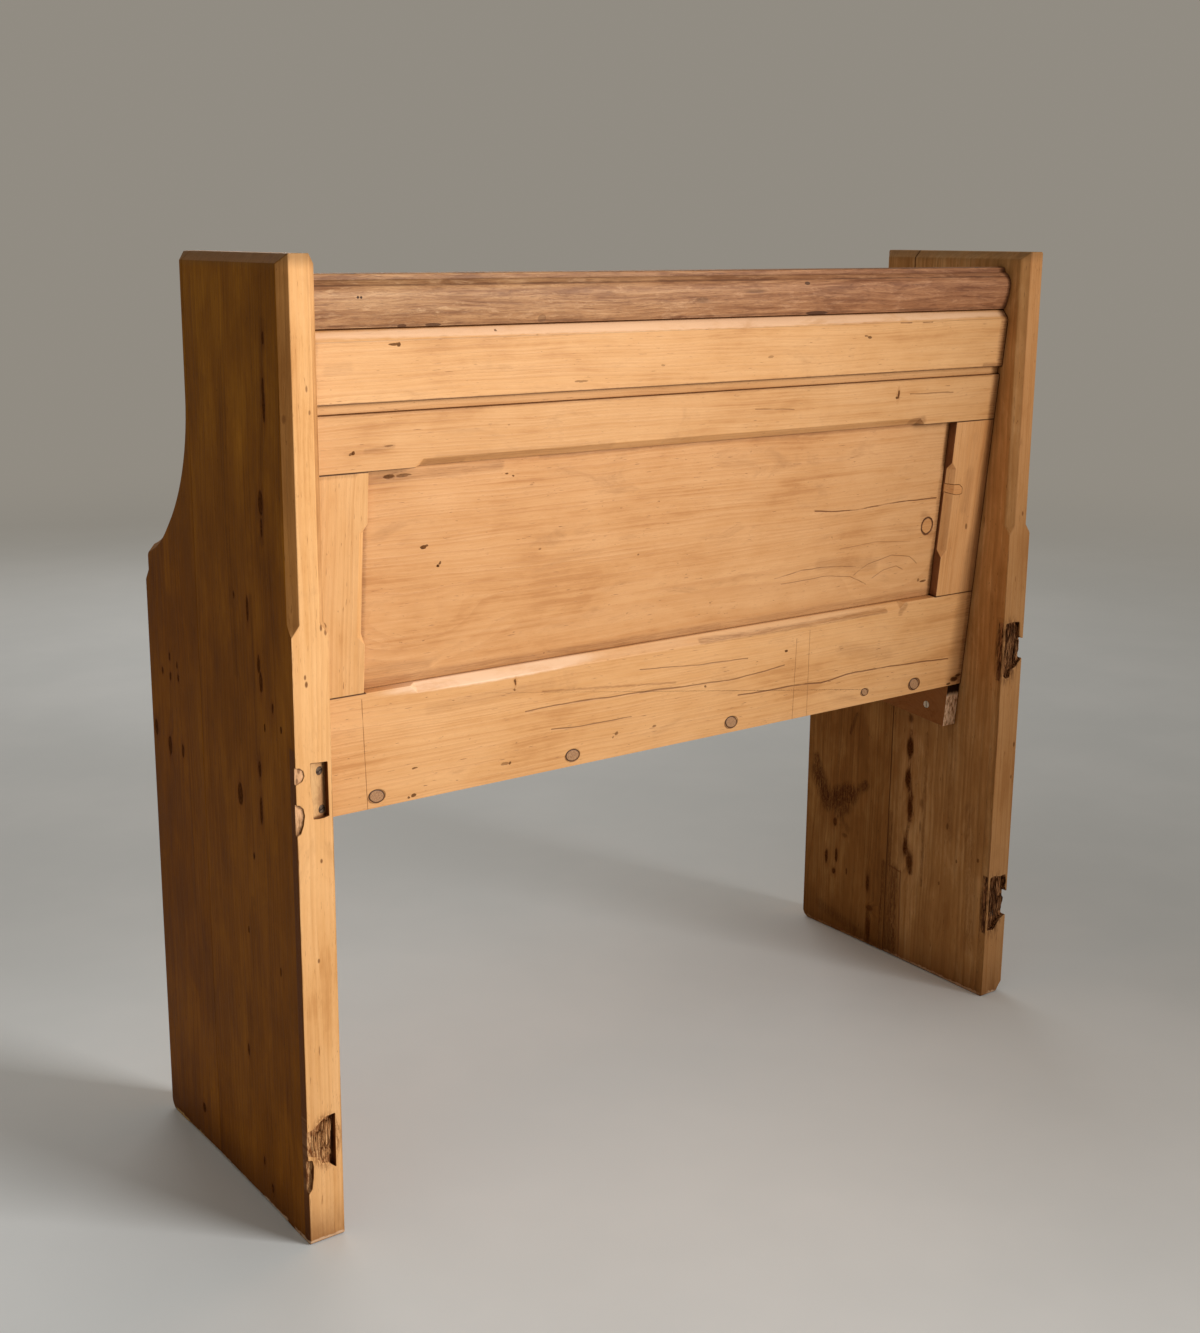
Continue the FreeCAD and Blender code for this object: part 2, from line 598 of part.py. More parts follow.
# bottom rail, grooved for the panel along its top edge
low_rail = rail("bottom_rail", [(0.0, 0.0), (-fr, 0.0), (-fr, low), (-pout, low), (-pout, low - gr),
                                (-pin, low - gr), (-pin, low), (0.0, low)])
mortise = [(12.0 + 19.0, 40.0), (2 * hx - 12.0 - 19.0 - 40.0, 40.0)]
for k, (mx, mw) in enumerate(mortise):
    sk = outline(low_rail, "low_mortise%d" % k, "XY_Plane",
                 [(mx, -pin), (mx, -pout), (mx + mw, -pout), (mx + mw, -pin)],
                 offset=Placement(Vector(0, 0, V["low_top"] - V["groove"]), Rotation()))
    pocket(low_rail, sk, 13.0, "low_mortise_cut%d" % k)
stopped_chamfer(low_rail, "low_stopped_chamfer", V["low_top"], hx - 343.5, hx + 344.5, False)
low_cut = cut(low_rail, seat_screw_tool, "bottom_rail")

# middle rail, grooved below for the panel and tongued above
mid_rail = rail("middle_rail", [(0.0, midl), (0.0, midt), (-pin, midt), (-pin, midt + tg), (-pout, midt + tg),
                                (-pout, midt), (-fr, midt), (-fr, midl), (-pout, midl), (-pout, midl + gr),
                                (-pin, midl + gr), (-pin, midl)])
for k, (mx, mw) in enumerate(mortise):
    sk = outline(mid_rail, "mid_mortise%d" % k, "XY_Plane",
                 [(mx, -pin), (mx, -pout), (mx + mw, -pout), (mx + mw, -pin)],
                 offset=Placement(Vector(0, 0, V["mid_low"] + V["groove"]), Rotation()))
    pocket(mid_rail, sk, 13.0, "mid_mortise_cut%d" % k)
stopped_chamfer(mid_rail, "mid_stopped_chamfer", V["mid_low"], hx - 340.0, hx + 346.5, True)
keep(mid_rail, "middle_rail")

# top rail: bevel above, sunk strip below, tongue into the cap
top_rail = rail("top_rail", [(-D("strip_in"), midt), (-D("strip_in"), midt + D("strip")),
                             (D("proud"), midt + D("strip")), (D("proud"), topt - D("bevel")),
                             (-(D("bevel") - D("proud")), topt), (-pin, topt), (-pin, topt + tg),
                             (-pout, topt + tg), (-pout, topt), (-fr, topt), (-fr, midt),
                             (-pout, midt), (-pout, midt + tg), (-pin, midt + tg), (-pin, midt)])
# its tongue stops short of the ends, where the cap butts between the slabs
for k, x0 in enumerate((-1.0, 2 * hx - val(D("housing")))):
    sk = outline(top_rail, "top_tongue_stop%d" % k, "YZ_Plane",
                 [(-5.0, topt), (-25.0, topt), (-25.0, topt + tg + 2.0), (-5.0, topt + tg + 2.0)],
                 offset=Placement(Vector(0, 0, x0), Rotation()))
    before = top_rail.Shape.Volume
    f = top_rail.newObject("PartDesign::Pocket", "top_tongue_cut%d" % k)
    f.Profile = sk
    f.Length = V["housing"] + 1.0
    f.Reversed = True
    doc.recompute()
    assert before - top_rail.Shape.Volume > 100.0
cut(top_rail, cap_nail_node, "top_rail")

# capping rail between the slab ends
cb, bv, qw, qv, cw = D("cap_base"), D("cap_belly_v"), D("cap_quirk_w"), D("cap_quirk_v"), D("cap_w")
cap = raked_body("capping_rail_body", -half_in)
cap_pts = [(-cb, topt), (0.0, bv), (-qw, qv), (-qw - D("cap_step"), qv), (-qw - D("cap_step"), D("cap_top") - 1.2),
           (-qw - D("cap_step") - 1.2, D("cap_top")),
           (-(cw - qw - D("cap_step") - 1.2), D("cap_top")), (-(cw - qw - D("cap_step")), D("cap_top") - 1.2),
           (-(cw - qw - D("cap_step")), qv), (-(cw - qw), qv), (-cw, bv), (-(cw - cb), topt),
           (-pout, topt), (-pout, topt + tg), (-pin, topt + tg), (-pin, topt)]
cap_sk = outline(cap, "cap_section", "YZ_Plane", cap_pts,
                 {0: (72.0, 1), 1: (16.2, 1), 9: (16.2, 1), 10: (72.0, 1)})
pad(cap, cap_sk, half_in * 2, "cap_pad")
cut(cap, cap_nail_node, "capping_rail")

# panel: flat board sitting in the grooves, with a let-in repair near its end
panel_half = half_in - D("stile") + gr - 1.0
panel = raked_body("panel_body", -panel_half)
panel_sk = outline(panel, "panel_section", "YZ_Plane",
                   [(-pin, low - gr + 1.0), (-pout, low - gr + 1.0), (-pout, midl + gr - 1.0), (-pin, midl + gr - 1.0)])
pad(panel, panel_sk, panel_half * 2, "panel_pad")


def raked_prism(points, w0, depth, name):
    ring = [raked_point(x, w0, v) for x, v in points]
    face = Part.Face(Part.makePolygon(ring + [ring[0]]))
    return group([face.extrude(raked_dir(0, depth, 0))], name, False)


patch_hole = [(-388.6, 225.6), (-381.6, 224.6), (-378.4, 218.8), (-378.6, 210.0), (-386.4, 204.6),
              (-394.4, 208.2), (-397.6, 217.6), (-394.6, 224.0)]
patch_cx, patch_cy = -387.9, 215.2
shrink = 0.965
patch_fill = [(patch_cx + (x - patch_cx) * shrink, patch_cy + (v - patch_cy) * shrink) for x, v in patch_hole]
patch_tool = raked_prism(patch_hole, V["panel_in"] - 1.0, 6.0, "patch_hole")
patch_body = raked_prism(patch_fill, V["panel_in"] - 1.0, 6.0, "patch_blank")
cut(panel, patch_tool, "back_panel")
common(panel, patch_body, "panel_patch")


def stile(side):
    sx = 1.0 if side == "left" else -1.0
    sw, out = V["stile"], V["housing"]
    # own x runs from the inner edge (0) out to the housed edge
    width = sw + out
    x0 = (half_in - D("stile")) if sx > 0 else -half_frame
    body = raked_body(side + "_stile_body", x0)
    sk = outline(body, side + "_stile_blank", "XY_Plane",
                 [(0.0, 0.0), (0.0, -fr), (D("stile") + D("housing"), -fr), (D("stile") + D("housing"), 0.0)],
                 offset=Placement(Vector(0, 0, V["low_top"]), Rotation()))
    pad(body, sk, midl - low, side + "_stile_pad")
    # stub tenons fill the grooves of the rails, the long tenons go into the mortises
    inner_gap = 9.0
    a0, a1 = (inner_gap, width) if sx > 0 else (0.0, width - inner_gap)
    # mortises start 31 mm in from the frame's ends
    b1, b0 = (width - 31.0, width - 71.0) if sx > 0 else (71.0, 31.0)
    for tag, c0, c1, length in (("stub", a0, a1, V["groove"]), ("tenon", b0, b1, V["groove"] + 12.5)):
        for end, zoff, back in (("top", V["mid_low"], False), ("low", V["low_top"], True)):
            sk = outline(body, "%s_%s_%s" % (side, tag, end), "XY_Plane",
                         [(c0, -pin), (c0, -pout), (c1, -pout), (c1, -pin)],
                         offset=Placement(Vector(0, 0, zoff), Rotation()))
            pad(body, sk, length, "%s_%s_%s_pad" % (side, tag, end), back=back)
    gx = (0.0, 9.0) if sx > 0 else (width - 9.0, width)
    sk = outline(body, side + "_panel_groove", "XY_Plane",
                 [(gx[0], -pin), (gx[0], -pout), (gx[1], -pout), (gx[1], -pin)],
                 offset=Placement(Vector(0, 0, V["mid_low"] + 30.0), Rotation()))
    f = body.newObject("PartDesign::Pocket", side + "_panel_groove_cut")
    f.Profile = sk
    f.Length = V["mid_low"] - V["low_top"] + 60.0
    doc.recompute()
    # stopped chamfer on the inner rear arris
    c = V["edge_cut"]
    ax = c / 2.0 if sx > 0 else width - c / 2.0
    stop = V["stop_len"]
    ridge(body, side + "_stile_chamfer", "Subtractive", Vector(ax, -c / 2.0, 0),
          Rotation(Vector(0, 0, 1), 45.0 if sx > 0 else -45.0),
          174.5 + stop, 296.0 - stop, 174.5, 296.0, c, over=1.0)
    return body


keep(stile("left"), "left_stile")
right = stile("right")
fill = raked_prism([(-400.0, 268.2), (-424.0, 267.0), (-430.0, 262.6), (-430.4, 254.6), (-420.0, 254.0), (-400.0, 258.6)],
                   -1.0, 10.5, "stile_patch_hole")
fill_in = raked_prism([(-400.0, 267.8), (-423.8, 266.6), (-429.6, 262.4), (-430.0, 255.0), (-420.0, 254.4), (-400.0, 259.0)],
                      -1.0, 10.5, "stile_patch_blank")
cut(right, fill, "right_stile")
common(right, fill_in, "stile_patch")

# ------------------------------------------------------------- seat
st, sj, sf = D("seat"), D("seat_joint"), D("seat_front")
rear_seat = raked_body("seat_rear_body", -half_frame)
sk = outline(rear_seat, "seat_rear_section", "YZ_Plane",
             [(-fr, 0.0), (-sj, 0.0), (-sj, 9.0), (-sj + tg, 9.0), (-sj + tg, 15.0), (-sj, 15.0), (-sj, st), (-fr, st)])
pad(rear_seat, sk, half_frame * 2, "seat_rear_pad")
seat_a = cut(rear_seat, seat_screw_tool)
cut(seat_a, seat_nail_node, "seat_rear_board")
front_seat = raked_body("seat_front_body", -half_frame)
nt, nl = D("nose_top"), D("nose_low")
sk = outline(front_seat, "seat_front_section", "YZ_Plane",
             [(-sj, 0.0), (-sf + nl, 0.0), (-sf, nl), (-sf, st - nt), (-sf + nt, st), (-sj, st), (-sj, 15.0),
              (-sj + tg, 15.0), (-sj + tg, 9.0), (-sj, 9.0)], {1: (nl, -1), 3: (nt, -1)})
pad(front_seat, sk, half_frame * 2, "seat_front_pad")
cut(front_seat, seat_nail_node, "seat_front_board")

# bearers under the seat, screwed to the slab ends
for end_side, sx in (("left", 1.0), ("right", -1.0)):
    body = raked_body(end_side + "_bearer_body", half_in - D("bearer") if sx > 0 else -half_in)
    b0, b1, bd = D("bearer_start"), D("bearer_end"), D("bearer_deep")
    sk = outline(body, end_side + "_bearer_side", "YZ_Plane",
                 [(-b0, 0.0), (-b0, -bd), (-b1 + 14.0, -bd), (-b1, -bd + 14.0), (-b1, 0.0)])
    pad(body, sk, D("bearer"), end_side + "_bearer_pad")
    a = cut(body, bearer_tools[end_side])
    cut(a, seat_nail_node, end_side + "_seat_bearer")

# ------------------------------------------------------------- write
doc.recompute()
for obj in doc.Objects:
    if "Invalid" in obj.State or "Error" in obj.State:
        raise ValueError("%s is %s" % (obj.Name, obj.State))
os.makedirs("parts", exist_ok=True)
for label, obj in nodes:
    shape = obj.Shape
    if shape.isNull() or not shape.isValid() or not shape.Solids:
        raise ValueError("bad shape: " + label)
    shape.exportStep("parts/%s.step" % label)
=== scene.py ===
import bpy
import math
import random
from mathutils import Matrix, Vector


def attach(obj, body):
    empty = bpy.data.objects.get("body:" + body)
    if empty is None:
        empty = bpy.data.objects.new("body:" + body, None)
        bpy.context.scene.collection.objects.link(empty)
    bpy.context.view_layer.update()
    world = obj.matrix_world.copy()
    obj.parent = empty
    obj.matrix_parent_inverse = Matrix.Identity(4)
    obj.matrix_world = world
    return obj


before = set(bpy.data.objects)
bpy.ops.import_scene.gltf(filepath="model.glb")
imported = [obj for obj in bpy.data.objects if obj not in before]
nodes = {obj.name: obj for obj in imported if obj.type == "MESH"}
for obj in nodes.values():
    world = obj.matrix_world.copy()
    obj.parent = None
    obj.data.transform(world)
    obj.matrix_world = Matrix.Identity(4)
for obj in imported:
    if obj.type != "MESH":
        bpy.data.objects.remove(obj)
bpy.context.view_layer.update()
scene = bpy.context.scene

# ------------------------------------------------------------------ the bench in numbers (mm)
MID_Y = 187.36
RAKE = math.radians(5.0)
PIVOT_Y = MID_Y - 66.4
PIVOT_Z = 413.0


# ------------------------------------------------------------------ node graph helper
class Graph:
    """Writes a material's node tree as plain arithmetic."""

    def __init__(self, name):
        self.mat = bpy.data.materials.new(name)
        self.mat.use_nodes = True
        self.tree = self.mat.node_tree
        self.tree.nodes.clear()

    def add(self, kind, **props):
        n = self.tree.nodes.new(kind)
        for k, v in props.items():
            setattr(n, k, v)
        return n

    def put(self, socket, value):
        if isinstance(value, bpy.types.NodeSocket):
            self.tree.links.new(value, socket)
        elif isinstance(value, (tuple, list)) and len(value) == 3 and socket.type == "RGBA":
            socket.default_value = (*value, 1.0)
        else:
            socket.default_value = value

    def m(self, op, a, b=None, c=None, clamp=False):
        n = self.add("ShaderNodeMath", operation=op, use_clamp=clamp)
        for i, x in enumerate((a, b, c)):
            if x is not None:
                self.put(n.inputs[i], x)
        return n.outputs[0]

    def add2(self, a, b):
        return self.m("ADD", a, b)

    def mul(self, a, b):
        return self.m("MULTIPLY", a, b)

    def mad(self, a, b, c):
        return self.m("MULTIPLY_ADD", a, b, c)

    def v(self, op, a, b=None, scale=None):
        n = self.add("ShaderNodeVectorMath", operation=op)
        self.put(n.inputs[0], a)
        if b is not None:
            self.put(n.inputs[1], b)
        if scale is not None:
            self.put(n.inputs[3], scale)
        return n.outputs["Value"] if op in ("LENGTH", "DOT_PRODUCT", "DISTANCE") else n.outputs["Vector"]

    def xyz(self, x, y, z=0.0):
        n = self.add("ShaderNodeCombineXYZ")
        for i, q in enumerate((x, y, z)):
            self.put(n.inputs[i], q)
        return n.outputs[0]

    def split(self, vec):
        n = self.add("ShaderNodeSeparateXYZ")
        self.put(n.inputs[0], vec)
        return n.outputs[0], n.outputs[1], n.outputs[2]

    def noise(self, vec, scale=1.0, detail=2.0, rough=0.5, dist=0.0):
        n = self.add("ShaderNodeTexNoise")
        self.put(n.inputs["Vector"], vec)
        n.inputs["Scale"].default_value = scale
        n.inputs["Detail"].default_value = detail
        n.inputs["Roughness"].default_value = rough
        n.inputs["Distortion"].default_value = dist
        return n.outputs[0]

    def step(self, x, e0, e1, lo=0.0, hi=1.0):
        n = self.add("ShaderNodeMapRange", interpolation_type="SMOOTHSTEP")
        self.put(n.inputs["Value"], x)
        self.put(n.inputs["From Min"], e0)
        self.put(n.inputs["From Max"], e1)
        self.put(n.inputs["To Min"], lo)
        self.put(n.inputs["To Max"], hi)
        return n.outputs[0]

    def mix(self, f, a, b, mode="MIX"):
        n = self.add("ShaderNodeMix", data_type="RGBA", blend_type=mode)
        self.put(n.inputs[0], f)
        self.put(n.inputs[6], a)
        self.put(n.inputs[7], b)
        return n.outputs[2]

    def ramp(self, f, stops):
        n = self.add("ShaderNodeValToRGB")
        el = n.color_ramp.elements
        while len(el) < len(stops):
            el.new(0.5)
        for e, (p, c) in zip(el, stops):
            e.position, e.color = p, (*c, 1.0)
        self.put(n.inputs[0], f)
        return n.outputs[0]

    def ao(self, distance, samples=6):
        n = self.add("ShaderNodeAmbientOcclusion", samples=samples)
        n.inputs["Distance"].default_value = distance
        return n.outputs["AO"]


def board_coords(g, grain):
    """(along the grain, across it, depth) in mm, square to the raked back or to the slab ends."""
    obj = g.add("ShaderNodeTexCoord").outputs["Object"]
    p = g.v("SCALE", obj, scale=1000.0)
    x, y, z = g.split(p)
    if grain == "slab":
        return z, y, x, p
    dy = g.m("SUBTRACT", y, PIVOT_Y)
    dz = g.m("SUBTRACT", z, PIVOT_Z)
    c, s = math.cos(RAKE), math.sin(RAKE)
    v = g.mad(dy, s, g.mul(dz, c))
    w = g.mad(dz, s, g.mul(dy, -c))
    return (x, v, w, p) if grain == "rail" else (v, x, w, p)


def spots_mask(g, warp, spots):
    """Dark ellipses (a, b, ra, rb, strength, softness): their cores, a halo round the hard-edged ones, and the
    swell they give the grain lines."""
    core, halo, swell = None, None, None
    for s in spots:
        a, b, ra, rb = s[:4]
        k = s[4] if len(s) > 4 else 0.9
        soft = s[5] if len(s) > 5 else 0.0
        d = g.v("SUBTRACT", warp, (a, b, 0.0))
        d = g.v("MULTIPLY", d, (1.0 / ra, 1.0 / rb, 0.0))
        d = g.v("LENGTH", d)
        if k > 0.0:
            one = g.step(d, 1.10 + 0.55 * soft, 0.86 - 0.66 * soft, 0.0, k)
            core = one if core is None else g.m("MAXIMUM", core, one)
        if rb >= 2.2 and k > 0.4:
            ring = g.step(d, 2.6, 0.9, 0.0, k)
            halo = ring if halo is None else g.m("MAXIMUM", halo, ring)
        if rb >= 2.4:
            bump = g.step(d, 3.8, 0.3, 0.0, rb * 1.25)
            swell = bump if swell is None else g.add2(swell, bump)
    return core, halo, swell


def line_mask(g, warp, lines):
    """Cracks, scribed lines, seams and smears: (a1, b1, a2, b2, half width, strength)."""
    mask = None
    for a1, b1, a2, b2, hw, k in lines:
        dx, dy = a2 - a1, b2 - b1
        n2 = dx * dx + dy * dy
        q = g.v("SUBTRACT", warp, (a1, b1, 0.0))
        u = g.m("MULTIPLY", g.v("DOT_PRODUCT", q, (dx, dy, 0.0)), 1.0 / n2, clamp=True)
        d = g.v("LENGTH", g.v("SUBTRACT", q, g.v("SCALE", (dx, dy, 0.0), scale=u)))
        one = g.step(d, hw * 1.5, hw * 0.35, 0.0, k)
        mask = one if mask is None else g.m("MAXIMUM", mask, one)
    return mask


PALE, MIDDLE, DEEP = (0.80, 0.450, 0.200), (0.715, 0.375, 0.148), (0.50, 0.222, 0.075)


def pine(name, grain="rail", seed=0.0, pith=(-160.0, 60.0), ring=3.4, warp=18.0, knots=(), lines=(), seams=(), smears=(),
         eyes=(), worn=(), tint=(1.0, 1.0, 1.0), contrast=1.0, side=None, rear=None, holes=None, dashes=1.0, grime_and_shade=1.0,
         mottle=1.0, rough=0.47, gloss=0.22, extra=None, calm=None, even=1.0, feather=False, painted_side_from=0.35,
         rings=(), side_other=None):
    """Old waxed pine. pith is where the tree's heart lies in (across, depth); eyes are grain swirls with no dark knot;
    seams are joint lines, smears wide soft stains, worn pale ellipses painted as highlights on upward-facing bevels;
    side = (dark, light) colours painted as light and shade on the faces that look along X; rear darkens the rear edge
    as painted shade."""
    g = Graph(name)
    a, b, t, p = board_coords(g, grain)
    sa = g.add2(a, seed * 613.0)

    # slow wander of the grain lines, and finer wobbles
    slow = g.noise(g.xyz(g.mul(sa, 0.0021), g.mul(b, 0.010), g.mul(t, 0.010)), 1.0, 3.0, 0.55)
    fine = g.noise(g.xyz(g.mul(sa, 0.016), g.mul(b, 0.055), g.mul(t, 0.055)), 1.0, 2.0, 0.5)
    jig = g.noise(g.xyz(g.mul(sa, 0.09), g.mul(b, 0.11), g.mul(t, 0.11)), 1.0, 3.0, 0.65)
    jig2 = g.noise(g.xyz(g.mul(b, 0.16), g.mul(sa, 0.08), g.add2(t, 37.0)), 1.0, 3.0, 0.65)
    warped = g.xyz(g.mad(jig, 6.0, g.add2(a, -3.0)), g.mad(jig2, 3.2, g.add2(b, -1.6)), 0.0)

    core, halo, swell = spots_mask(g, warped, [*knots, *[(*e[:4], 0.0) for e in eyes]])
    bb = g.mad(g.m("SUBTRACT", slow, 0.5), warp * 2.0, b)
    rho = g.v("LENGTH", g.xyz(0.0, g.m("SUBTRACT", bb, pith[0]), g.m("SUBTRACT", t, pith[1])))
    rho = g.mad(fine, 2.4, rho)
    if swell is not None:
        rho = g.add2(rho, swell)
    pace = g.noise(g.xyz(g.mul(rho, 0.035), seed, 0.0), 1.0, 1.0, 0.5)
    turns = g.mad(pace, 5.0, g.mul(rho, 1.0 / ring))
    fr = g.m("FRACT", turns)
    late = g.mul(g.step(fr, 0.10, 0.86), g.step(fr, 1.0, 0.93))
    ring_id = g.m("FLOOR", turns)
    ring_strength = g.noise(g.xyz(g.mul(ring_id, 0.73), g.mad(a, 0.004, seed + 3.0), 0.0), 1.0, 1.0)
    late = g.mul(late, g.step(ring_strength, 0.30, 0.66, 0.12, 1.0))

    streak = g.noise(g.xyz(g.mul(sa, 0.0045), g.mul(bb, 0.20), g.mul(t, 0.20)), 1.0, 4.0, 0.62)
    fibre = g.noise(g.xyz(g.mul(sa, 0.030), g.mul(bb, 1.35), g.mul(t, 1.35)), 1.0, 3.0, 0.68)
    cloud = g.noise(g.xyz(g.mul(sa, 0.0065), g.mul(b, 0.014), g.mul(t, 0.014)), 1.0, 4.0, 0.6)
    patina = g.noise(g.xyz(g.mul(sa, 0.010), g.mul(b, 0.030), g.add2(g.mul(t, 0.02), 71.0)), 1.0, 5.0, 0.68, 0.5)
    smear = g.noise(g.xyz(g.mul(sa, 0.021), g.mul(b, 0.040), g.mul(t, 0.03)), 1.0, 4.0, 0.7)
    dash = g.noise(g.xyz(g.mul(sa, 0.060), g.mul(bb, 0.70), g.add2(t, 11.0)), 1.0, 2.0, 0.5)
    speck = g.noise(g.xyz(g.mul(sa, 0.15), g.mul(b, 0.48), g.mul(t, 0.45)), 1.0, 1.0, 0.5)
    pore = g.noise(g.xyz(g.mul(sa, 0.11), g.mul(bb, 2.1), g.mul(t, 2.1)), 1.0, 1.0, 0.5)

    tone = g.mad(g.m("SUBTRACT", streak, 0.5), 1.15, g.mad(g.m("SUBTRACT", cloud, 0.5), 1.5 * mottle, 0.5))
    tone = g.mad(g.m("SUBTRACT", patina, 0.5), 0.7 * mottle, tone)
    flecks = g.m("MAXIMUM", g.step(dash, 0.665, 0.74, 0.0, 0.70 * dashes), g.step(speck, 0.745, 0.79, 0.0, 0.60 * dashes))
    flecks = g.mul(flecks, g.step(smear, 0.38, 0.60, 0.12, 1.0))
    grain_dark = g.mad(late, 0.26 * contrast, g.step(fibre, 0.53, 0.74, 0.0, 0.26 * contrast))

    col = g.ramp(tone, [(0.14, (0.60, 0.290, 0.104)), (0.36, MIDDLE), (0.58, tuple((x + y) / 2 for x, y in zip(PALE, MIDDLE))),
                        (0.84, PALE)])
    col = g.mix(grain_dark, col, DEEP)
    col = g.mix(g.step(patina, 0.545, 0.74, 0.0, 0.46 * mottle), col, (0.47, 0.225, 0.080))
    col = g.mix(flecks, col, (0.24, 0.088, 0.028))
    col = g.mix(g.mul(g.step(pore, 0.66, 0.73, 0.0, 0.35), g.step(streak, 0.40, 0.60)), col, (0.34, 0.135, 0.045))
    if tint != (1.0, 1.0, 1.0):
        col = g.mix(1.0, col, tint, "MULTIPLY")

    # worn: pale bands painted as highlights on upward-facing bevels
    for (wa, wb, wra, wrb, k, c) in worn:
        d = g.v("LENGTH", g.v("MULTIPLY", g.v("SUBTRACT", warped, (wa, wb, 0.0)), (1.0 / wra, 1.0 / wrb, 0.0)))
        f = g.mul(g.step(d, 1.10, 0.72, 0.0, k), g.step(patina, 0.30, 0.52, 0.45, 1.0))
        col = g.mix(f, col, c)

    nrm = g.split(g.add("ShaderNodeNewGeometry").outputs["Normal"])
    # painted light and shade: faces that look along X take the side colours in place of the lit pine
    if side is not None:
        f = g.step(g.m("ABSOLUTE", nrm[0]), painted_side_from, max(0.90, painted_side_from + 0.08))
        low_c, high_c = side
        mid_c = tuple((x * y) ** 0.5 for x, y in zip(low_c, high_c))
        brown = g.ramp(g.mad(g.m("SUBTRACT", patina, 0.5), 0.9 * even, g.mad(g.m("SUBTRACT", tone, 0.5), 0.85 * even, 0.5)),
                       [(0.16, low_c), (0.50, mid_c), (0.86, high_c)])
        facing = None
        if side_other is not None:
            # the ends' faces that look towards -X keep their own plain colours, without the painted light and shade of
            # the +X faces
            facing = g.step(nrm[0], -0.7, -0.3)
            lo, hi = side_other
            md = tuple((x * y) ** 0.5 for x, y in zip(lo, hi))
            plain = g.ramp(g.mad(g.m("SUBTRACT", patina, 0.5), 0.9, g.mad(g.m("SUBTRACT", tone, 0.5), 0.85, 0.5)),
                           [(0.16, lo), (0.50, md), (0.86, hi)])
            brown = g.mix(facing, plain, brown)
        brown = g.mix(g.m("MULTIPLY", grain_dark, 0.9, clamp=True), brown, tuple(c * 0.42 for c in low_c))
        brown = g.mix(flecks, brown, tuple(c * 0.3 for c in low_c))
        col = g.mix(f, col, brown)
    # painted shade: faces that look back (+Y) are multiplied by rear
    if rear is not None:
        f = g.step(nrm[1], 0.3, 0.9)
        col = g.mix(f, col, g.mix(1.0, col, rear, "MULTIPLY"))
    if extra is not None:
        col = extra(g, col, a, b, t, p, nrm, patina, fibre)

    if halo is not None:
        col = g.mix(g.mul(halo, 0.45), col, g.mix(1.0, col, (0.62, 0.44, 0.30), "MULTIPLY"))
    stain = line_mask(g, warped, smears) if smears else None
    if stain is not None:
        stain = g.mul(stain, g.step(fibre, 0.36, 0.60, 0.35, 1.0))
        if side_other is not None:
            stain = g.mul(stain, facing)
        if feather:
            plume = g.noise(g.xyz(g.mul(a, 0.13), g.mul(b, 0.46), 5.0), 1.0, 4.0, 0.75, 0.9)
            stain = g.m("MULTIPLY", stain, g.step(plume, 0.38, 0.58, 0.40, 1.60), clamp=True)
        col = g.mix(stain, col, g.mix(1.0, col, (0.26, 0.15, 0.08), "MULTIPLY"))
    if core is not None and knots:
        if side_other is not None:
            core = g.mul(core, g.m("MAXIMUM", facing, 0.30))
        inner = g.noise(g.xyz(g.mul(a, 0.30), g.mul(b, 1.0), 0.0), 1.0, 2.0, 0.6)
        col = g.mix(core, col, g.mix(g.step(inner, 0.40, 0.62), (0.040, 0.010, 0.002), (0.125, 0.040, 0.010)))
    cracks = line_mask(g, g.xyz(a, g.mad(fine, 5.0, g.add2(b, -2.5)), 0.0), lines) if lines else None
    if cracks is not None:
        if side_other is not None:
            cracks = g.mul(cracks, facing)
        broken = g.mul(cracks, g.step(smear, 0.28, 0.50, 0.34, 1.0))
        col = g.mix(g.mul(broken, 0.92), col, (0.17, 0.054, 0.014))
        cracks = broken
    joint = line_mask(g, g.xyz(a, b, 0.0), seams) if seams else None
    if joint is not None:
        joint = g.mul(joint, g.step(patina, 0.20, 0.50, 0.45, 1.0))
        col = g.mix(joint, col, (0.050, 0.014, 0.004))

    # dark uneven outlines of let-in pieces
    for cx, cy, rx, ry, wide, k in rings:
        q = g.v("MULTIPLY", g.v("SUBTRACT", g.xyz(a, b, 0.0), (cx, cy, 0.0)), (1.0 / rx, 1.0 / ry, 0.0))
        away = g.m("ABSOLUTE", g.m("SUBTRACT", g.mad(jig, 0.22, g.v("LENGTH", q)), 1.11))
        line = g.mul(g.step(away, wide * 1.5, wide * 0.5), g.step(jig2, 0.30, 0.46, 0.45 * k, k))
        col = g.mix(line, col, (0.115, 0.036, 0.010))

    # corners darken with painted shade and some grime; open joints and tight creases go near black, partly dark joints
    # and partly painted shade
    corner_shade_and_grime = g.step(g.ao(0.012, 5), 0.97, 0.42)
    corner_shade_and_grime = g.mul(corner_shade_and_grime, g.step(patina, 0.25, 0.62, 0.65, 1.0))
    col = g.mix(g.mul(corner_shade_and_grime, 0.52 * grime_and_shade), col, g.mix(1.0, col, (0.44, 0.26, 0.115), "MULTIPLY"))
    joint_black_and_crease_shade = g.step(g.ao(0.0024, 4), 0.80, 0.42)
    if calm is not None:
        joint_black_and_crease_shade = g.mul(joint_black_and_crease_shade, calm(g, a, b, t))
    col = g.mix(g.mul(joint_black_and_crease_shade, 0.85 * grime_and_shade), col, (0.080, 0.022, 0.005))

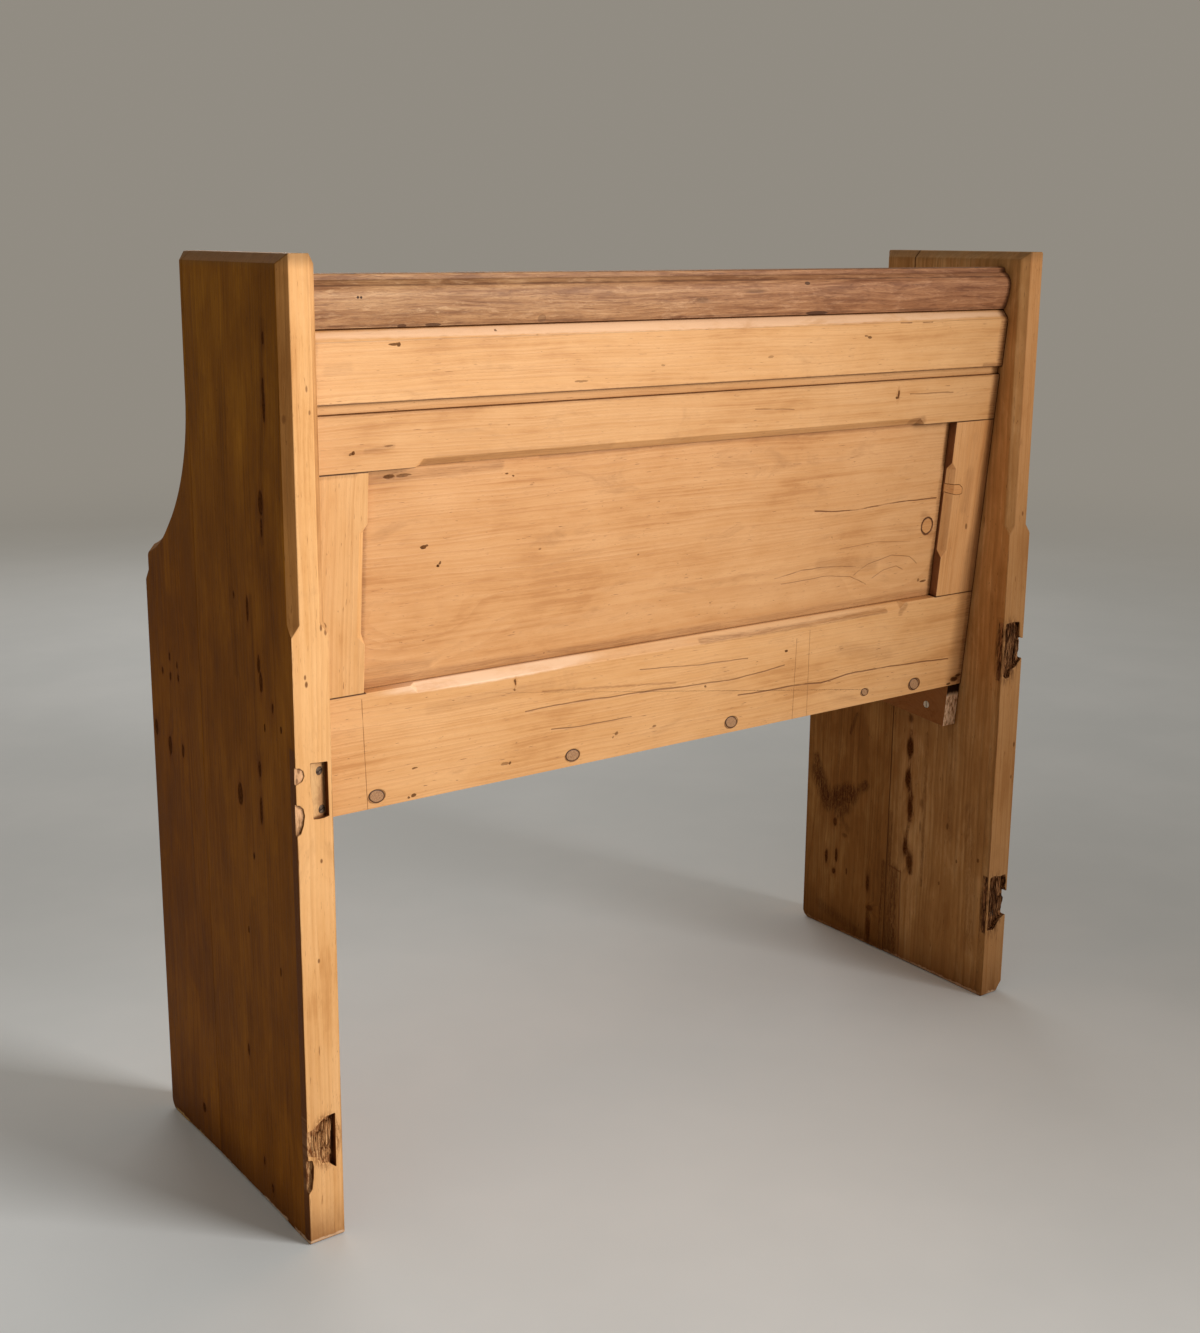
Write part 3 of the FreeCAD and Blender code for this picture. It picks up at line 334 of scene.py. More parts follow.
    height = g.mad(late, 0.10, g.mul(fibre, 0.20))
    height = g.mad(patina, 0.30, height)
    height = g.mad(cloud, 0.6, height)
    height = g.m("SUBTRACT", height, g.mul(flecks, 0.22))
    if core is not None and knots:
        height = g.m("SUBTRACT", height, g.mul(core, 0.30))
    if cracks is not None:
        height = g.m("SUBTRACT", height, g.mul(cracks, 0.9))
    if holes is not None:
        height = g.add2(height, holes(g, a, b, t, p, fibre, smear))

    bump = g.add("ShaderNodeBump")
    bump.inputs["Strength"].default_value = 0.75
    bump.inputs["Distance"].default_value = 0.0009
    g.put(bump.inputs["Height"], height)

    shader = g.add("ShaderNodeBsdfPrincipled")
    g.put(shader.inputs["Base Color"], col)
    r = g.mad(patina, 0.24, rough - 0.12)
    r = g.mad(corner_shade_and_grime, 0.18, r)
    g.put(shader.inputs["Roughness"], g.mad(late, -0.05, r))
    g.put(shader.inputs["Normal"], bump.outputs[0])
    gleam = g.m("SUBTRACT", gloss, g.mul(joint_black_and_crease_shade, gloss))
    if core is not None and knots:
        gleam = g.m("SUBTRACT", gleam, g.mul(core, gloss), clamp=True)
    g.put(shader.inputs["Specular IOR Level"], gleam)
    out = g.add("ShaderNodeOutputMaterial")
    g.put(out.inputs[0], shader.outputs[0])
    return g.mat


def hardwood(name):
    """Dark reddish brown hardwood, mottled with rubbed paler patches and dark streaks."""
    g = Graph(name)
    a, b, t, p = board_coords(g, "rail")
    slow = g.noise(g.xyz(g.mul(a, 0.004), g.mul(b, 0.03), g.mul(t, 0.03)), 1.0, 3.0, 0.6)
    bb = g.mad(g.m("SUBTRACT", slow, 0.5), 20.0, b)
    streak = g.noise(g.xyz(g.mul(a, 0.0085), g.mul(bb, 0.24), g.mul(t, 0.24)), 1.0, 5.0, 0.70)
    fine = g.noise(g.xyz(g.mul(a, 0.040), g.mul(bb, 1.1), g.mul(t, 1.1)), 1.0, 4.0, 0.72)
    pore = g.noise(g.xyz(g.mul(a, 0.12), g.mul(bb, 2.0), g.mul(t, 2.0)), 1.0, 1.0, 0.5)
    blot = g.noise(g.xyz(g.mul(a, 0.013), g.mul(b, 0.060), g.mul(t, 0.060)), 1.0, 5.0, 0.70, 0.6)
    rub = g.noise(g.xyz(g.mul(a, 0.030), g.mul(b, 0.12), g.add2(g.mul(t, 0.08), 9.0)), 1.0, 5.0, 0.74, 0.4)
    # paler and greyer towards the left end, redder and darker to the right
    along = g.step(a, 420.0, -420.0)
    col = g.ramp(streak, [(0.28, (0.19, 0.072, 0.028)), (0.42, (0.34, 0.155, 0.068)), (0.56, (0.46, 0.235, 0.112)),
                          (0.74, (0.60, 0.335, 0.175))])
    col = g.mix(g.step(blot, 0.48, 0.66, 0.0, 0.62), col, (0.200, 0.078, 0.034))
    col = g.mix(g.step(rub, 0.52, 0.68, 0.0, 0.52), col, (0.66, 0.385, 0.215))
    col = g.mix(g.step(fine, 0.50, 0.68, 0.0, 0.64), col, (0.150, 0.056, 0.024))
    col = g.mix(g.step(pore, 0.62, 0.70, 0.0, 0.50), col, (0.12, 0.048, 0.026))
    col = g.mix(along, g.mix(1.0, col, (1.04, 1.08, 1.06), "MULTIPLY"), g.mix(1.0, col, (0.86, 0.74, 0.70), "MULTIPLY"))
    mask, _, _ = spots_mask(g, g.xyz(a, b, 0.0), [(421.3, 509.3, 1.2, 1.2, 1.0), (417.9, 509.1, 1.2, 1.2, 1.0), (-137.3, 515.3, 4.0, 1.8, 0.8),
                                   (-158.0, 482.2, 17.0, 2.2, 0.9), (338.0, 481.8, 9.0, 1.6, 0.8), (372.0, 481.6, 5.0, 1.6, 0.8),
                                   (214.0, 485.0, 5.0, 4.0, 0.35), (12.0, 500.0, 9.0, 3.0, 0.35, 0.6), (-60.0, 508.0, 16.0, 2.1, 0.4, 0.6)])
    col = g.mix(mask, col, (0.050, 0.018, 0.008))
    fillet = line_mask(g, g.xyz(a, g.mad(rub, 1.6, g.add2(b, -0.8)), 0.0), [(-480.0, 519.4, 480.0, 519.4, 0.9, 0.75), (-480.0, 482.6, 480.0, 482.6, 1.2, 0.5)])
    col = g.mix(g.mul(fillet, g.step(blot, 0.36, 0.56, 0.35, 1.0)), col, (0.110, 0.040, 0.018))
    # painted shade: AO darkens the cap's corners and creases
    corner_shade_and_grime = g.step(g.ao(0.012, 6), 0.95, 0.40)
    col = g.mix(g.mul(corner_shade_and_grime, 0.65), col, (0.075, 0.030, 0.015))
    h = g.mad(fine, 0.35, g.mul(streak, 0.6))
    h = g.mad(rub, 0.5, h)
    h = g.m("SUBTRACT", h, g.mul(mask, 0.8))
    bump = g.add("ShaderNodeBump")
    bump.inputs["Strength"].default_value = 0.7
    bump.inputs["Distance"].default_value = 0.0010
    g.put(bump.inputs["Height"], h)
    sh = g.add("ShaderNodeBsdfPrincipled")
    g.put(sh.inputs["Base Color"], col)
    g.put(sh.inputs["Roughness"], g.mad(rub, 0.22, 0.40))
    g.put(sh.inputs["Normal"], bump.outputs[0])
    sh.inputs["Specular IOR Level"].default_value = 0.22
    out = g.add("ShaderNodeOutputMaterial")
    g.put(out.inputs[0], sh.outputs[0])
    return g.mat


def end_grain(name, light, dark, centres, rim):
    """Plugs cut across the grain: rings, fine dots and a dark glue line round each one."""
    g = Graph(name)
    x, v, w, p = board_coords(g, "rail")
    ring, edge = None, None
    for cx, cv, rx, rv, lean in centres:
        ca, sa = math.cos(math.radians(lean)), math.sin(math.radians(lean))
        q = g.v("SUBTRACT", g.xyz(x, v, 0.0), (cx, cv, 0.0))
        d = g.v("LENGTH", g.xyz(g.v("DOT_PRODUCT", q, (ca / rx, sa / rx, 0.0)), g.v("DOT_PRODUCT", q, (-sa / rv, ca / rv, 0.0))))
        one = g.step(d, 0.82, 0.96)
        edge = one if edge is None else g.m("MINIMUM", edge, one)
    n1 = g.noise(g.xyz(g.mul(x, 0.16), g.mul(v, 0.22), 0.0), 1.0, 3.0, 0.6, 0.5)
    arcs = g.m("FRACT", g.mad(n1, 6.0, g.mul(x, 0.33)))
    n2 = g.noise(g.xyz(g.mul(x, 1.3), g.mul(v, 1.3), 0.0), 1.0, 3.0, 0.7)
    col = g.mix(g.step(arcs, 0.2, 0.95, 0.0, 0.8), light, dark)
    col = g.mix(g.step(n2, 0.5, 0.72, 0.0, 0.65), col, tuple(c * 0.45 for c in dark))
    col = g.mix(edge, col, rim)
    h = g.m("SUBTRACT", g.mul(n2, 0.5), g.mul(edge, 0.8))
    bump = g.add("ShaderNodeBump")
    bump.inputs["Strength"].default_value = 0.8
    bump.inputs["Distance"].default_value = 0.001
    g.put(bump.inputs["Height"], h)
    sh = g.add("ShaderNodeBsdfPrincipled")
    g.put(sh.inputs["Base Color"], col)
    g.put(sh.inputs["Roughness"], g.mad(n2, 0.2, 0.45))
    g.put(sh.inputs["Normal"], bump.outputs[0])
    out = g.add("ShaderNodeOutputMaterial")
    g.put(out.inputs[0], sh.outputs[0])
    return g.mat


def metal(name, bright, dull, rust, rusty=0.5):
    g = Graph(name)
    p = g.v("SCALE", g.add("ShaderNodeTexCoord").outputs["Object"], scale=1000.0)
    n1 = g.noise(p, 0.35, 4.0, 0.65)
    n2 = g.noise(p, 1.6, 3.0, 0.7)
    col = g.mix(g.step(n2, 0.35, 0.7), dull, bright)
    f = g.step(n1, 0.62 - 0.3 * rusty, 0.80 - 0.3 * rusty)
    col = g.mix(f, col, rust)
    # painted shade: AO darkens the crevices of the heads
    col = g.mix(g.step(g.ao(0.004, 4), 0.9, 0.4, 0.0, 0.7), col, (0.02, 0.012, 0.008))
    bump = g.add("ShaderNodeBump")
    bump.inputs["Strength"].default_value = 0.5
    bump.inputs["Distance"].default_value = 0.0004
    g.put(bump.inputs["Height"], g.add2(n1, n2))
    sh = g.add("ShaderNodeBsdfPrincipled")
    g.put(sh.inputs["Base Color"], col)
    g.put(sh.inputs["Metallic"], g.m("SUBTRACT", 0.45, g.mul(f, 0.4)))
    g.put(sh.inputs["Roughness"], g.mad(f, 0.35, g.mad(n2, 0.25, 0.30)))
    g.put(sh.inputs["Normal"], bump.outputs[0])
    out = g.add("ShaderNodeOutputMaterial")
    g.put(out.inputs[0], sh.outputs[0])
    return g.mat


# ------------------------------------------------------------------ where the marks are (mm)
# ends: (height, distance back of the middle, half height, half width, darkness, softness)
LEFT_KNOTS = [
    (885.9, 150.7, 6, 2.2), (842.1, 147.1, 9, 2.6), (824.6, 147.6, 15, 3.0), (735.2, 133.8, 12, 5.0), (711.9, 133.8, 9, 2.4),
    (637.0, 67.1, 4, 1.8), (629.3, 96.7, 13, 2.6), (578.9, 117.2, 9, 3.2), (561.8, 120.7, 11, 3.6),
    (541.5, 144.1, 5, 2.2), (523.8, 160.4, 4, 2.0), (517.5, 125.4, 4, 1.8), (473.6, 111.5, 8, 3.4), (435.7, 64.6, 12, 6.0),
    (430.9, 111.5, 14, 3.2), (378.7, 90.8, 4, 2.0), (294.5, 71.7, 4, 2.0), (158.7, 60.1, 7, 2.4), (45.3, 87.8, 5, 2.4),
    (22.8, 105.5, 5, 2.6), (273.9, 142.0, 5, 1.6)]
LEFT_FRONT_KNOTS = [
    (523.2, -119.7, 4, 2.2), (542.3, -99.2, 4, 2.2), (523.4, -78.8, 4, 2.2), (521.2, -99.2, 5, 2.4), (536.5, -80.8, 4, 2.0),
    (454.4, -144.3, 9, 4.6), (442.6, -108.5, 11, 5.0), (445.2, -74.8, 7, 3.4), (39.3, -62.1, 6, 4.0)]
RIGHT_REAR_KNOTS = [
    (306.2, 41.0, 15, 6.4, 1.0, 0.35), (262.5, 39.4, 13, 5.0, 1.0, 0.4), (222.0, 45.6, 14, 4.6, 1.0, 0.45), (163.5, 39.5, 12, 3.6, 0.95, 0.5),
    (146.2, 49.9, 14, 6, 0.90, 0.6), (346.7, 39.8, 6, 4, 0.70, 0.6), (233.7, 66.2, 6, 3, 0.45, 0.6), (201.0, 65.4, 8, 2, 0.45, 0.6),
    (215.0, 113.5, 5, 2, 0.55), (184.0, 168.1, 3, 2, 0.60), (172.0, 132.0, 3, 1.6, 0.6), (132.0, 104.0, 3, 1.4, 0.6)]
RIGHT_FRONT_KNOTS = [
    (161.7, -95.4, 7, 3.4, 0.90, 0.3), (105.5, -110.2, 11, 3.0, 0.97, 0.3), (113.0, -90.2, 11, 3.0, 0.97, 0.3),
    (88.4, -93.9, 5, 3.6, 0.95, 0.4), (94.3, -68.9, 5, 1.8, 0.85, 0.3), (90.3, -26.6, 13, 3.2, 0.90, 0.4),
    (55.3, -21.2, 4, 7, 0.75, 0.4), (21.9, -21.7, 17, 4, 0.90, 0.5), (147.0, -75.0, 3, 5, 0.5, 0.4)]


def path(points, hw, k):
    return [(*points[i], *points[i + 1], hw, k) for i in range(len(points) - 1)]


# back: (along X, up the back)
LOW_LINES = (path([(211.9, 74.4), (142.0, 73.9), (102.1, 72.6), (1.8, 69.0)], 0.8, 0.75)
             + path([(176.9, 47.9), (140.1, 45.5), (69.1, 43.4)], 0.7, 0.75)
             + path([(61.3, 98.5), (-21.8, 91.7), (-97.1, 88.1)], 0.7, 0.65)
             + path([(58.9, 70.3), (-12.8, 68.2), (-70.4, 64.9), (-156.1, 71.0)], 0.8, 0.75)
             + path([(-87.2, 44.4), (-175.0, 43.1), (-219.3, 39.7), (-276.8, 44.3), (-399.3, 40.3), (-442.2, 38.1)], 0.9, 0.90)
             + [(-172.5, 102.0, -177.3, 0.0, 0.5, 0.50), (-192.6, 108.8, -200.7, 0.0, 0.5, 0.45),
                (408.7, 117.6, 399.1, 0.0, 0.5, 0.55)])
LOW_SPOTS = [(345.9, 34.5, 3.4, 1.1, 0.8), (345.8, 5.2, 3.4, 2.1, 0.85), (352.0, 3.6, 1.5, 1.2, 0.8), (235.7, 19.3, 5.5, 2.0, 0.50), (228.9, 19.0, 1.6, 1.6, 0.8),
             (226.5, 108.8, 1.3, 3.6, 0.85), (227.5, 100.5, 1.3, 1.6, 0.7), (88.4, 27.9, 2.2, 2.0, 0.6), (92.0, 24.0, 1.4, 1.2, 0.6),
             (-157.0, 88.9, 2.4, 1.5, 0.9), (-36.0, 63.3, 1.5, 1.5, 0.7), (35.0, 27.0, 3.0, 1.2, 0.6),
             (-459.0, 8.0, 7.0, 3.6, 0.95, 0.3), (-466.0, 12.0, 6.0, 2.1, 0.9, 0.3), (-450.0, 3.0, 4.0, 1.5, 0.8)]
LOW_SMEARS = (path([(-25.0, 118.0), (-170.0, 116.5), (-319.0, 117.5)], 3.0, 0.55) + path([(191.7, 93.0), (100.0, 84.0), (8.8, 75.0)], 1.2, 0.5)
              + [(471.0, 5.0, 471.0, 120.0, 3.2, 0.5), (-470.0, 0.0, -470.0, 122.0, 5.0, 0.6), (452.0, 20.0, 466.0, 58.0, 7.0, 0.30),
                 (330.0, 96.0, 180.0, 100.0, 6.0, 0.16), (-330.0, 60.0, -250.0, 78.0, 9.0, 0.18), (-345.0, 112.0, -352.0, 120.0, 4.0, 0.5)])
PANEL_SPOTS = [(336.7, 262.6, 3.4, 2.1, 0.9), (333.2, 263.8, 2.0, 1.3, 0.8), (318.1, 242.0, 2.0, 1.6, 0.95), (316.2, 244.6, 1.3, 1.6, 0.8),
               (241.0, 329.3, 2.2, 1.0, 0.85), (233.2, 326.4, 1.4, 1.0, 0.8), (195.2, 246.3, 2.0, 1.0, 0.5), (64.9, 226.6, 1.4, 1.0, 0.6),
               (378.0, 336.9, 7.0, 1.9, 0.80), (361.0, 337.0, 9.0, 1.6, 0.65), (-391.4, 144.2, 5.0, 1.4, 0.8), (-383.0, 146.0, 2.0, 2.1, 0.6)]
PANEL_LINES = (path([(-193.3, 250.9), (-259.5, 246.8), (-310.8, 248.8), (-350.4, 250.1), (-398.0, 249.4)], 0.8, 0.95)
               + path([(-139.0, 176.6), (-180.8, 181.6), (-218.1, 180.8), (-269.6, 176.5)], 0.55, 0.65)
               + path([(-150.0, 168.0), (-215.0, 170.0), (-262.0, 164.0), (-290.0, 152.0)], 0.5, 0.55)
               + path([(-268.0, 165.0), (-292.0, 178.0), (-330.0, 184.0), (-362.0, 178.0), (-376.0, 168.0)], 0.5, 0.55)
               + path([(-300.0, 158.0), (-318.0, 165.0), (-340.0, 168.0), (-352.0, 163.0)], 0.5, 0.50)
               + path([(-240.0, 200.0), (-300.0, 204.0), (-360.0, 198.0)], 0.5, 0.35))
PANEL_SMEARS = [(400.0, 335.0, 250.0, 338.0, 5.0, 0.40), (404.0, 330.0, 404.0, 140.0, 3.5, 0.45), (-404.0, 340.0, -404.0, 140.0, 4.0, 0.55),
                (400.0, 130.0, -60.0, 129.0, 4.5, 0.42), (-60.0, 129.0, -400.0, 131.0, 4.0, 0.30), (395.0, 142.0, 330.0, 140.0, 6.0, 0.30),
                (-390.0, 345.0, 200.0, 346.0, 4.0, 0.40), (-396.0, 205.0, -380.0, 228.0, 7.0, 0.35), (-210.0, 185.0, -300.0, 176.0, 8.0, 0.22)]
TOP_SPOTS = [(383.5, 465.9, 5.5, 1.3, 0.85), (377.6, 465.2, 2.2, 1.8, 0.85), (165.0, 421.4, 9.0, 1.2, 0.5), (268.0, 474.8, 1.6, 1.0, 0.7),
             (-238.5, 453.8, 3.8, 1.6, 0.75), (-233.0, 455.4, 2.4, 1.0, 0.6), (-89.5, 436.8, 4.0, 1.6, 0.4), (60.7, 433.4, 3.0, 1.2, 0.4)]
TOP_LINES = [(-287.0, 468.2, -305.0, 468.8, 0.8, 0.7), (-324.0, 468.2, -340.0, 468.4, 0.8, 0.7)]
# the thin smear at 412 adds to the painted shadow line under the top rail's step
TOP_SMEARS = [(467.0, 414.0, 467.0, 470.0, 4.0, 0.35), (-468.0, 412.0, -468.0, 476.0, 7.0, 0.65), (-440.0, 414.0, -470.0, 414.0, 3.0, 0.5),
              (-470.0, 412.0, 470.0, 412.2, 1.0, 0.45), (430.0, 446.0, 452.0, 444.0, 5.0, 0.18)]
MID_SPOTS = [(422.9, 365.1, 2.0, 2.0, 0.9), (426.0, 364.0, 2.0, 1.2, 0.7), (385.6, 369.6, 5.0, 1.0, 0.5), (-298.1, 385.2, 1.5, 5.4, 0.9),
             (-296.4, 381.0, 2.6, 1.5, 0.85), (-14.4, 408.3, 3.0, 2.1, 0.9)]
MID_LINES = [(-75.5, 379.2, -133.1, 376.0, 0.7, 0.55), (-318.0, 384.4, -392.0, 382.8, 0.7, 0.60)]
MID_SMEARS = [(467.0, 350.0, 467.0, 398.0, 3.5, 0.35), (-467.0, 346.0, -467.0, 400.0, 7.0, 0.60), (340.0, 349.0, 300.0, 350.0, 5.0, 0.35),
              (-330.0, 350.0, -345.0, 352.0, 5.0, 0.55), (-470.0, 400.6, 470.0, 400.6, 1.0, 0.35), (410.0, 366.0, 380.0, 369.0, 2.5, 0.30),
              (330.0, 353.0, 120.0, 353.0, 5.0, 0.22)]


# rear edges: (across, height, half height, half width, darkness)
REAR_MARKS = {
    "left_rear": [(496.0, 571.8, 3.0, 1.5, 0.85), (485.8, 397.8, 2.2, 1.3, 0.8), (487.0, 842.0, 3.0, 1.1, 0.6), (484.6, 820.9, 2.2, 1.1, 0.6),
                  (479.4, 623.5, 3.4, 1.2, 0.75), (474.9, 618.6, 3.0, 1.4, 0.7), (497.1, 578.7, 2.4, 1.2, 0.75), (505.8, 490.0, 3.0, 1.3, 0.6),
                  (507.7, 480.2, 2.6, 1.4, 0.6), (491.7, 297.8, 2.4, 1.2, 0.75), (507.1, 815.7, 4.0, 1.4, 0.7), (494.0, 205.0, 5.0, 0.7, 0.5)],
    "right_rear": [(-505.1, 341.4, 3.4, 1.8, 0.8), (-493.7, 642.3, 3.0, 1.5, 0.75), (-503.3, 298.1, 2.6, 1.4, 0.7), (-488.0, 560.0, 4.0, 0.8, 0.5)]}


def torn(g, z, y, t, pale, dark):
    tear = g.noise(g.xyz(g.mul(z, 0.075), g.mul(t, 0.50), g.mul(y, 0.45)), 1.0, 5.0, 0.72, 0.4)
    mid = tuple((q * r) ** 0.5 for q, r in zip(pale, dark))
    return g.ramp(tear, [(0.40, dark), (0.475, mid), (0.56, pale)])


def slab_extra(side):
    """Torn wood in the old recesses of the rear edge, grimy feet, painted shade on the recess walls and the slab tops,
    and painted light and shade over the ends' faces.
    """
    def run(g, col, a, b, t, p, nrm, patina, fibre):
        z, y = a, b
        if side in ("left_rear", "right_rear"):
            deep = MID_Y - 0.5
            sunk = g.mul(g.step(y, deep, deep - 0.7), g.step(y, MID_Y - 11.0, MID_Y - 10.4))
            if side == "left_rear":
                # upper recess and its chips: pale; lower one: pale to the left, dark and rough by its wall
                up = g.mul(sunk, g.mul(g.step(z, 425.0, 427.0), g.step(z, 497.0, 495.4)))
                up = g.mul(up, g.step(g.m("ABSOLUTE", nrm[0]), 0.86, 0.70))
                # the chips are pale fresh wood, brightened further as painted light where they face away from the lamp
                pinkish = g.mix(g.step(t, 499.0, 503.0), (0.70, 0.405, 0.185), (0.92, 0.52, 0.28))
                floor_c = g.mix(g.step(patina, 0.42, 0.62), pinkish, (0.44, 0.225, 0.100))
                rim = g.m("MAXIMUM", g.step(z, 443.5, 440.4), g.mul(g.step(z, 493.4, 495.0), g.step(t, 478.0, 486.0, 1.0, 0.55)))
                rim = g.mul(rim, g.step(t, 495.6, 493.6))
                floor_c = g.mix(g.mul(rim, 0.8), floor_c, (0.13, 0.045, 0.016))
                col = g.mix(up, col, floor_c)
                low = g.mul(sunk, g.mul(g.step(z, 52.0, 54.0), g.step(z, 136.5, 135.0)))
                low = g.mul(low, g.step(nrm[0], -0.92, -0.70))
                wood = torn(g, z, 0.0, t, (0.74, 0.42, 0.195), (0.155, 0.048, 0.014))
                wood = g.mix(g.step(t, 489.0, 483.0, 0.0, 0.90), wood, torn(g, z, 0.0, t, (0.30, 0.120, 0.046), (0.022, 0.006, 0.002)))
                col = g.mix(low, col, wood)
                d = g.v("LENGTH", g.v("MULTIPLY", g.v("SUBTRACT", g.xyz(z, t, 0.0), (108.0, 490.5, 0.0)), (1.0 / 33.0, 1.0 / 19.0, 0.0)))
                tear = g.noise(g.xyz(g.mul(z, 0.085), g.mul(t, 0.55), 7.0), 1.0, 5.0, 0.75, 0.4)
                bruise = g.mul(g.mul(g.step(g.mad(tear, 0.7, d), 1.42, 1.12), g.step(tear, 0.46, 0.53)), g.step(nrm[1], 0.4, 0.8))
                col = g.mix(g.mul(bruise, 0.72), col, (0.22, 0.078, 0.024))
                # painted shade: the recess walls that face +X, away from the lamp, are darkened
                wall = g.mul(sunk, g.step(nrm[0], 0.82, 0.95))
                wall = g.mul(wall, g.step(z, 512.0, 508.0))
                col = g.mix(g.mul(wall, 0.85), col, (0.16, 0.055, 0.018))
            else:
                hole = g.mul(sunk, g.m("MAXIMUM", g.mul(g.step(z, 429.0, 431.0), g.step(z, 506.0, 504.0)),
                                       g.mul(g.step(z, 88.0, 90.0), g.step(z, 168.0, 166.0))))
                hole = g.mul(hole, g.step(nrm[0], -0.95, -0.7))
                inner_side = g.step(nrm[0], 0.85, 0.95)
                ragged = g.noise(g.xyz(g.mul(z, 0.05), g.mul(y, 0.35), 3.0), 1.0, 4.0, 0.75)
                hole = g.mul(hole, g.m("SUBTRACT", 1.0, g.mul(inner_side, g.step(g.mad(ragged, 16.0, y), MID_Y + 2.5, MID_Y - 2.5))))
                col = g.mix(hole, col, torn(g, z, y, t, (0.46, 0.215, 0.090), (0.024, 0.007, 0.002)))
                # bruised and blackened fibres round both recesses
                for zz, rz in ((466.0, 46.0), (128.0, 48.0)):
                    d = g.v("LENGTH", g.v("MULTIPLY", g.v("SUBTRACT", g.xyz(z, y, t), (zz, MID_Y - 2.0, -484.0)), (1.0 / rz, 1.0 / 13.0, 1.0 / 22.0)))
                    tear = g.noise(g.xyz(g.mul(z, 0.05), g.mul(t, 0.35), g.mul(y, 0.35)), 1.0, 4.0, 0.7)
                    col = g.mix(g.mul(g.step(d, 1.15, 0.75, 0.0, 0.75), g.step(tear, 0.44, 0.60)), col, (0.085, 0.028, 0.009))
            # dents and nail marks on the rear edge
            marks = REAR_MARKS[side]
            dots, _, _ = spots_mask(g, g.xyz(z, t, 0.0), [(mz, mx, rz, rx, k, 0.4) for mx, mz, rz, rx, k in marks])
            col = g.mix(g.mul(dots, g.step(nrm[1], 0.5, 0.8)), col, (0.13, 0.042, 0.012))
            # a nibbled dark line down each arris of the rear edge
            inner, outer = (472.0, 510.0) if side == "left_rear" else (-472.0, -510.0)
            for x, k in ((inner, 0.55), (outer, 0.45)):
                arris = g.mul(g.step(g.m("ABSOLUTE", g.m("SUBTRACT", t, x)), 1.5, 0.7), g.step(y, MID_Y - 1.8, MID_Y - 0.8))
                arris = g.mul(arris, g.step(patina, 0.46, 0.60))
                col = g.mix(g.mul(arris, k), col, (0.20, 0.075, 0.024))
        foot = g.mul(g.step(z, 60.0, 2.0), g.step(patina, 0.30, 0.62, 0.30, 1.0))
        col = g.mix(g.mul(foot, 0.60), col, g.mix(1.0, col, (0.30, 0.20, 0.12), "MULTIPLY"))
        # the foot's arris is splintered pale in places
        crumb = g.noise(g.xyz(g.mul(z, 0.20), g.mul(y, 0.10), g.mul(t, 0.16)), 1.0, 4.0, 0.7)
        edge = g.mul(g.step(g.mad(crumb, -9.0, z), 0.2, -1.2), g.step(patina, 0.36, 0.50))
        col = g.mix(g.mul(edge, 0.80), col, (0.78, 0.54, 0.36))
        # painted shade: the top of each slab, above 944 mm, is darker
        top = g.mul(g.step(z, 944.0, 958.0), g.step(patina, 0.36, 0.58, 0.55, 1.0))
        col = g.mix(g.mul(top, 0.55), col, (0.165, 0.088, 0.036))
        if side.startswith("left"):
            # painted light and shade on the outer face: a little lighter high up and deeper brown towards the front
            shade = g.mul(g.step(z, 560.0, 930.0), g.step(nrm[0], 0.6, 0.9))
            col = g.mix(shade, col, g.mix(1.0, col, (1.12, 1.22, 1.24), "MULTIPLY"))
            deep = g.mul(g.mul(g.step(y, 60.0, -90.0), g.step(z, 760.0, 560.0)), g.step(nrm[0], 0.6, 0.9))
            col = g.mix(deep, col, g.mix(1.0, col, (0.90, 0.84, 0.54), "MULTIPLY"))
        else:
            # painted shade: the inner face darkens below the seat and towards the front; painted light lifts the rear
            # edges between 520 and 840 mm
            down = g.mul(g.step(z, 640.0, 420.0, 0.0, 0.66), g.step(nrm[0], 0.5, 0.9))
            col = g.mix(down, col, g.mix(1.0, col, (0.62, 0.55, 0.46), "MULTIPLY"))
            lift = g.mul(g.step(z, 520.0, 840.0), g.step(nrm[1], 0.3, 0.9))
            col = g.mix(lift, col, g.mix(1.0, col, (1.30, 1.28, 1.30), "MULTIPLY"))
            front_low_shade = g.mul(g.mul(g.step(y, 60.0, -10.0), g.step(z, 440.0, 360.0)), g.step(nrm[0], 0.5, 0.9))
            col = g.mix(front_low_shade, col, g.mix(1.0, col, (0.66, 0.57, 0.42), "MULTIPLY"))
        return col
    return run


def recess_calm(g, a, b, t):
    """1 where fine corners are blackened, 0 on the left end's worn-away recess borders."""
    up = g.mul(g.mul(g.step(a, 436.0, 438.0), g.step(a, 499.0, 497.0)), g.step(t, 481.0, 484.0))
    low = g.mul(g.mul(g.step(a, 70.0, 74.0), g.step(a, 138.0, 136.0)), g.step(t, 484.0, 486.0))
    both = g.mul(g.m("MAXIMUM", up, low), g.step(b, MID_Y - 12.0, MID_Y - 10.0))
    return g.m("SUBTRACT", 1.0, g.mul(both, 0.80))


def bearer_end(g, col, a, b, t, p, nrm, patina, fibre):
    """The broken end of the bearer: pale split wood, its upper part under the rail painted black as shadow."""
    f = g.step(nrm[1], 0.35, 0.75)
    chip = g.noise(g.xyz(g.mul(a, 0.28), g.mul(b, 0.10), g.mul(t, 0.2)), 1.0, 4.0, 0.75)
    wood = g.ramp(chip, [(0.34, (0.16, 0.060, 0.022)), (0.46, (0.62, 0.36, 0.20)), (0.60, (0.90, 0.62, 0.42))])
    # painted shadow: near-black over the top of the broken end, under the rail
    top = g.step(g.mad(chip, 14.0, b), -9.0, -2.0)
    wood = g.mix(top, wood, (0.020, 0.007, 0.003))
    return g.mix(f, col, wood)


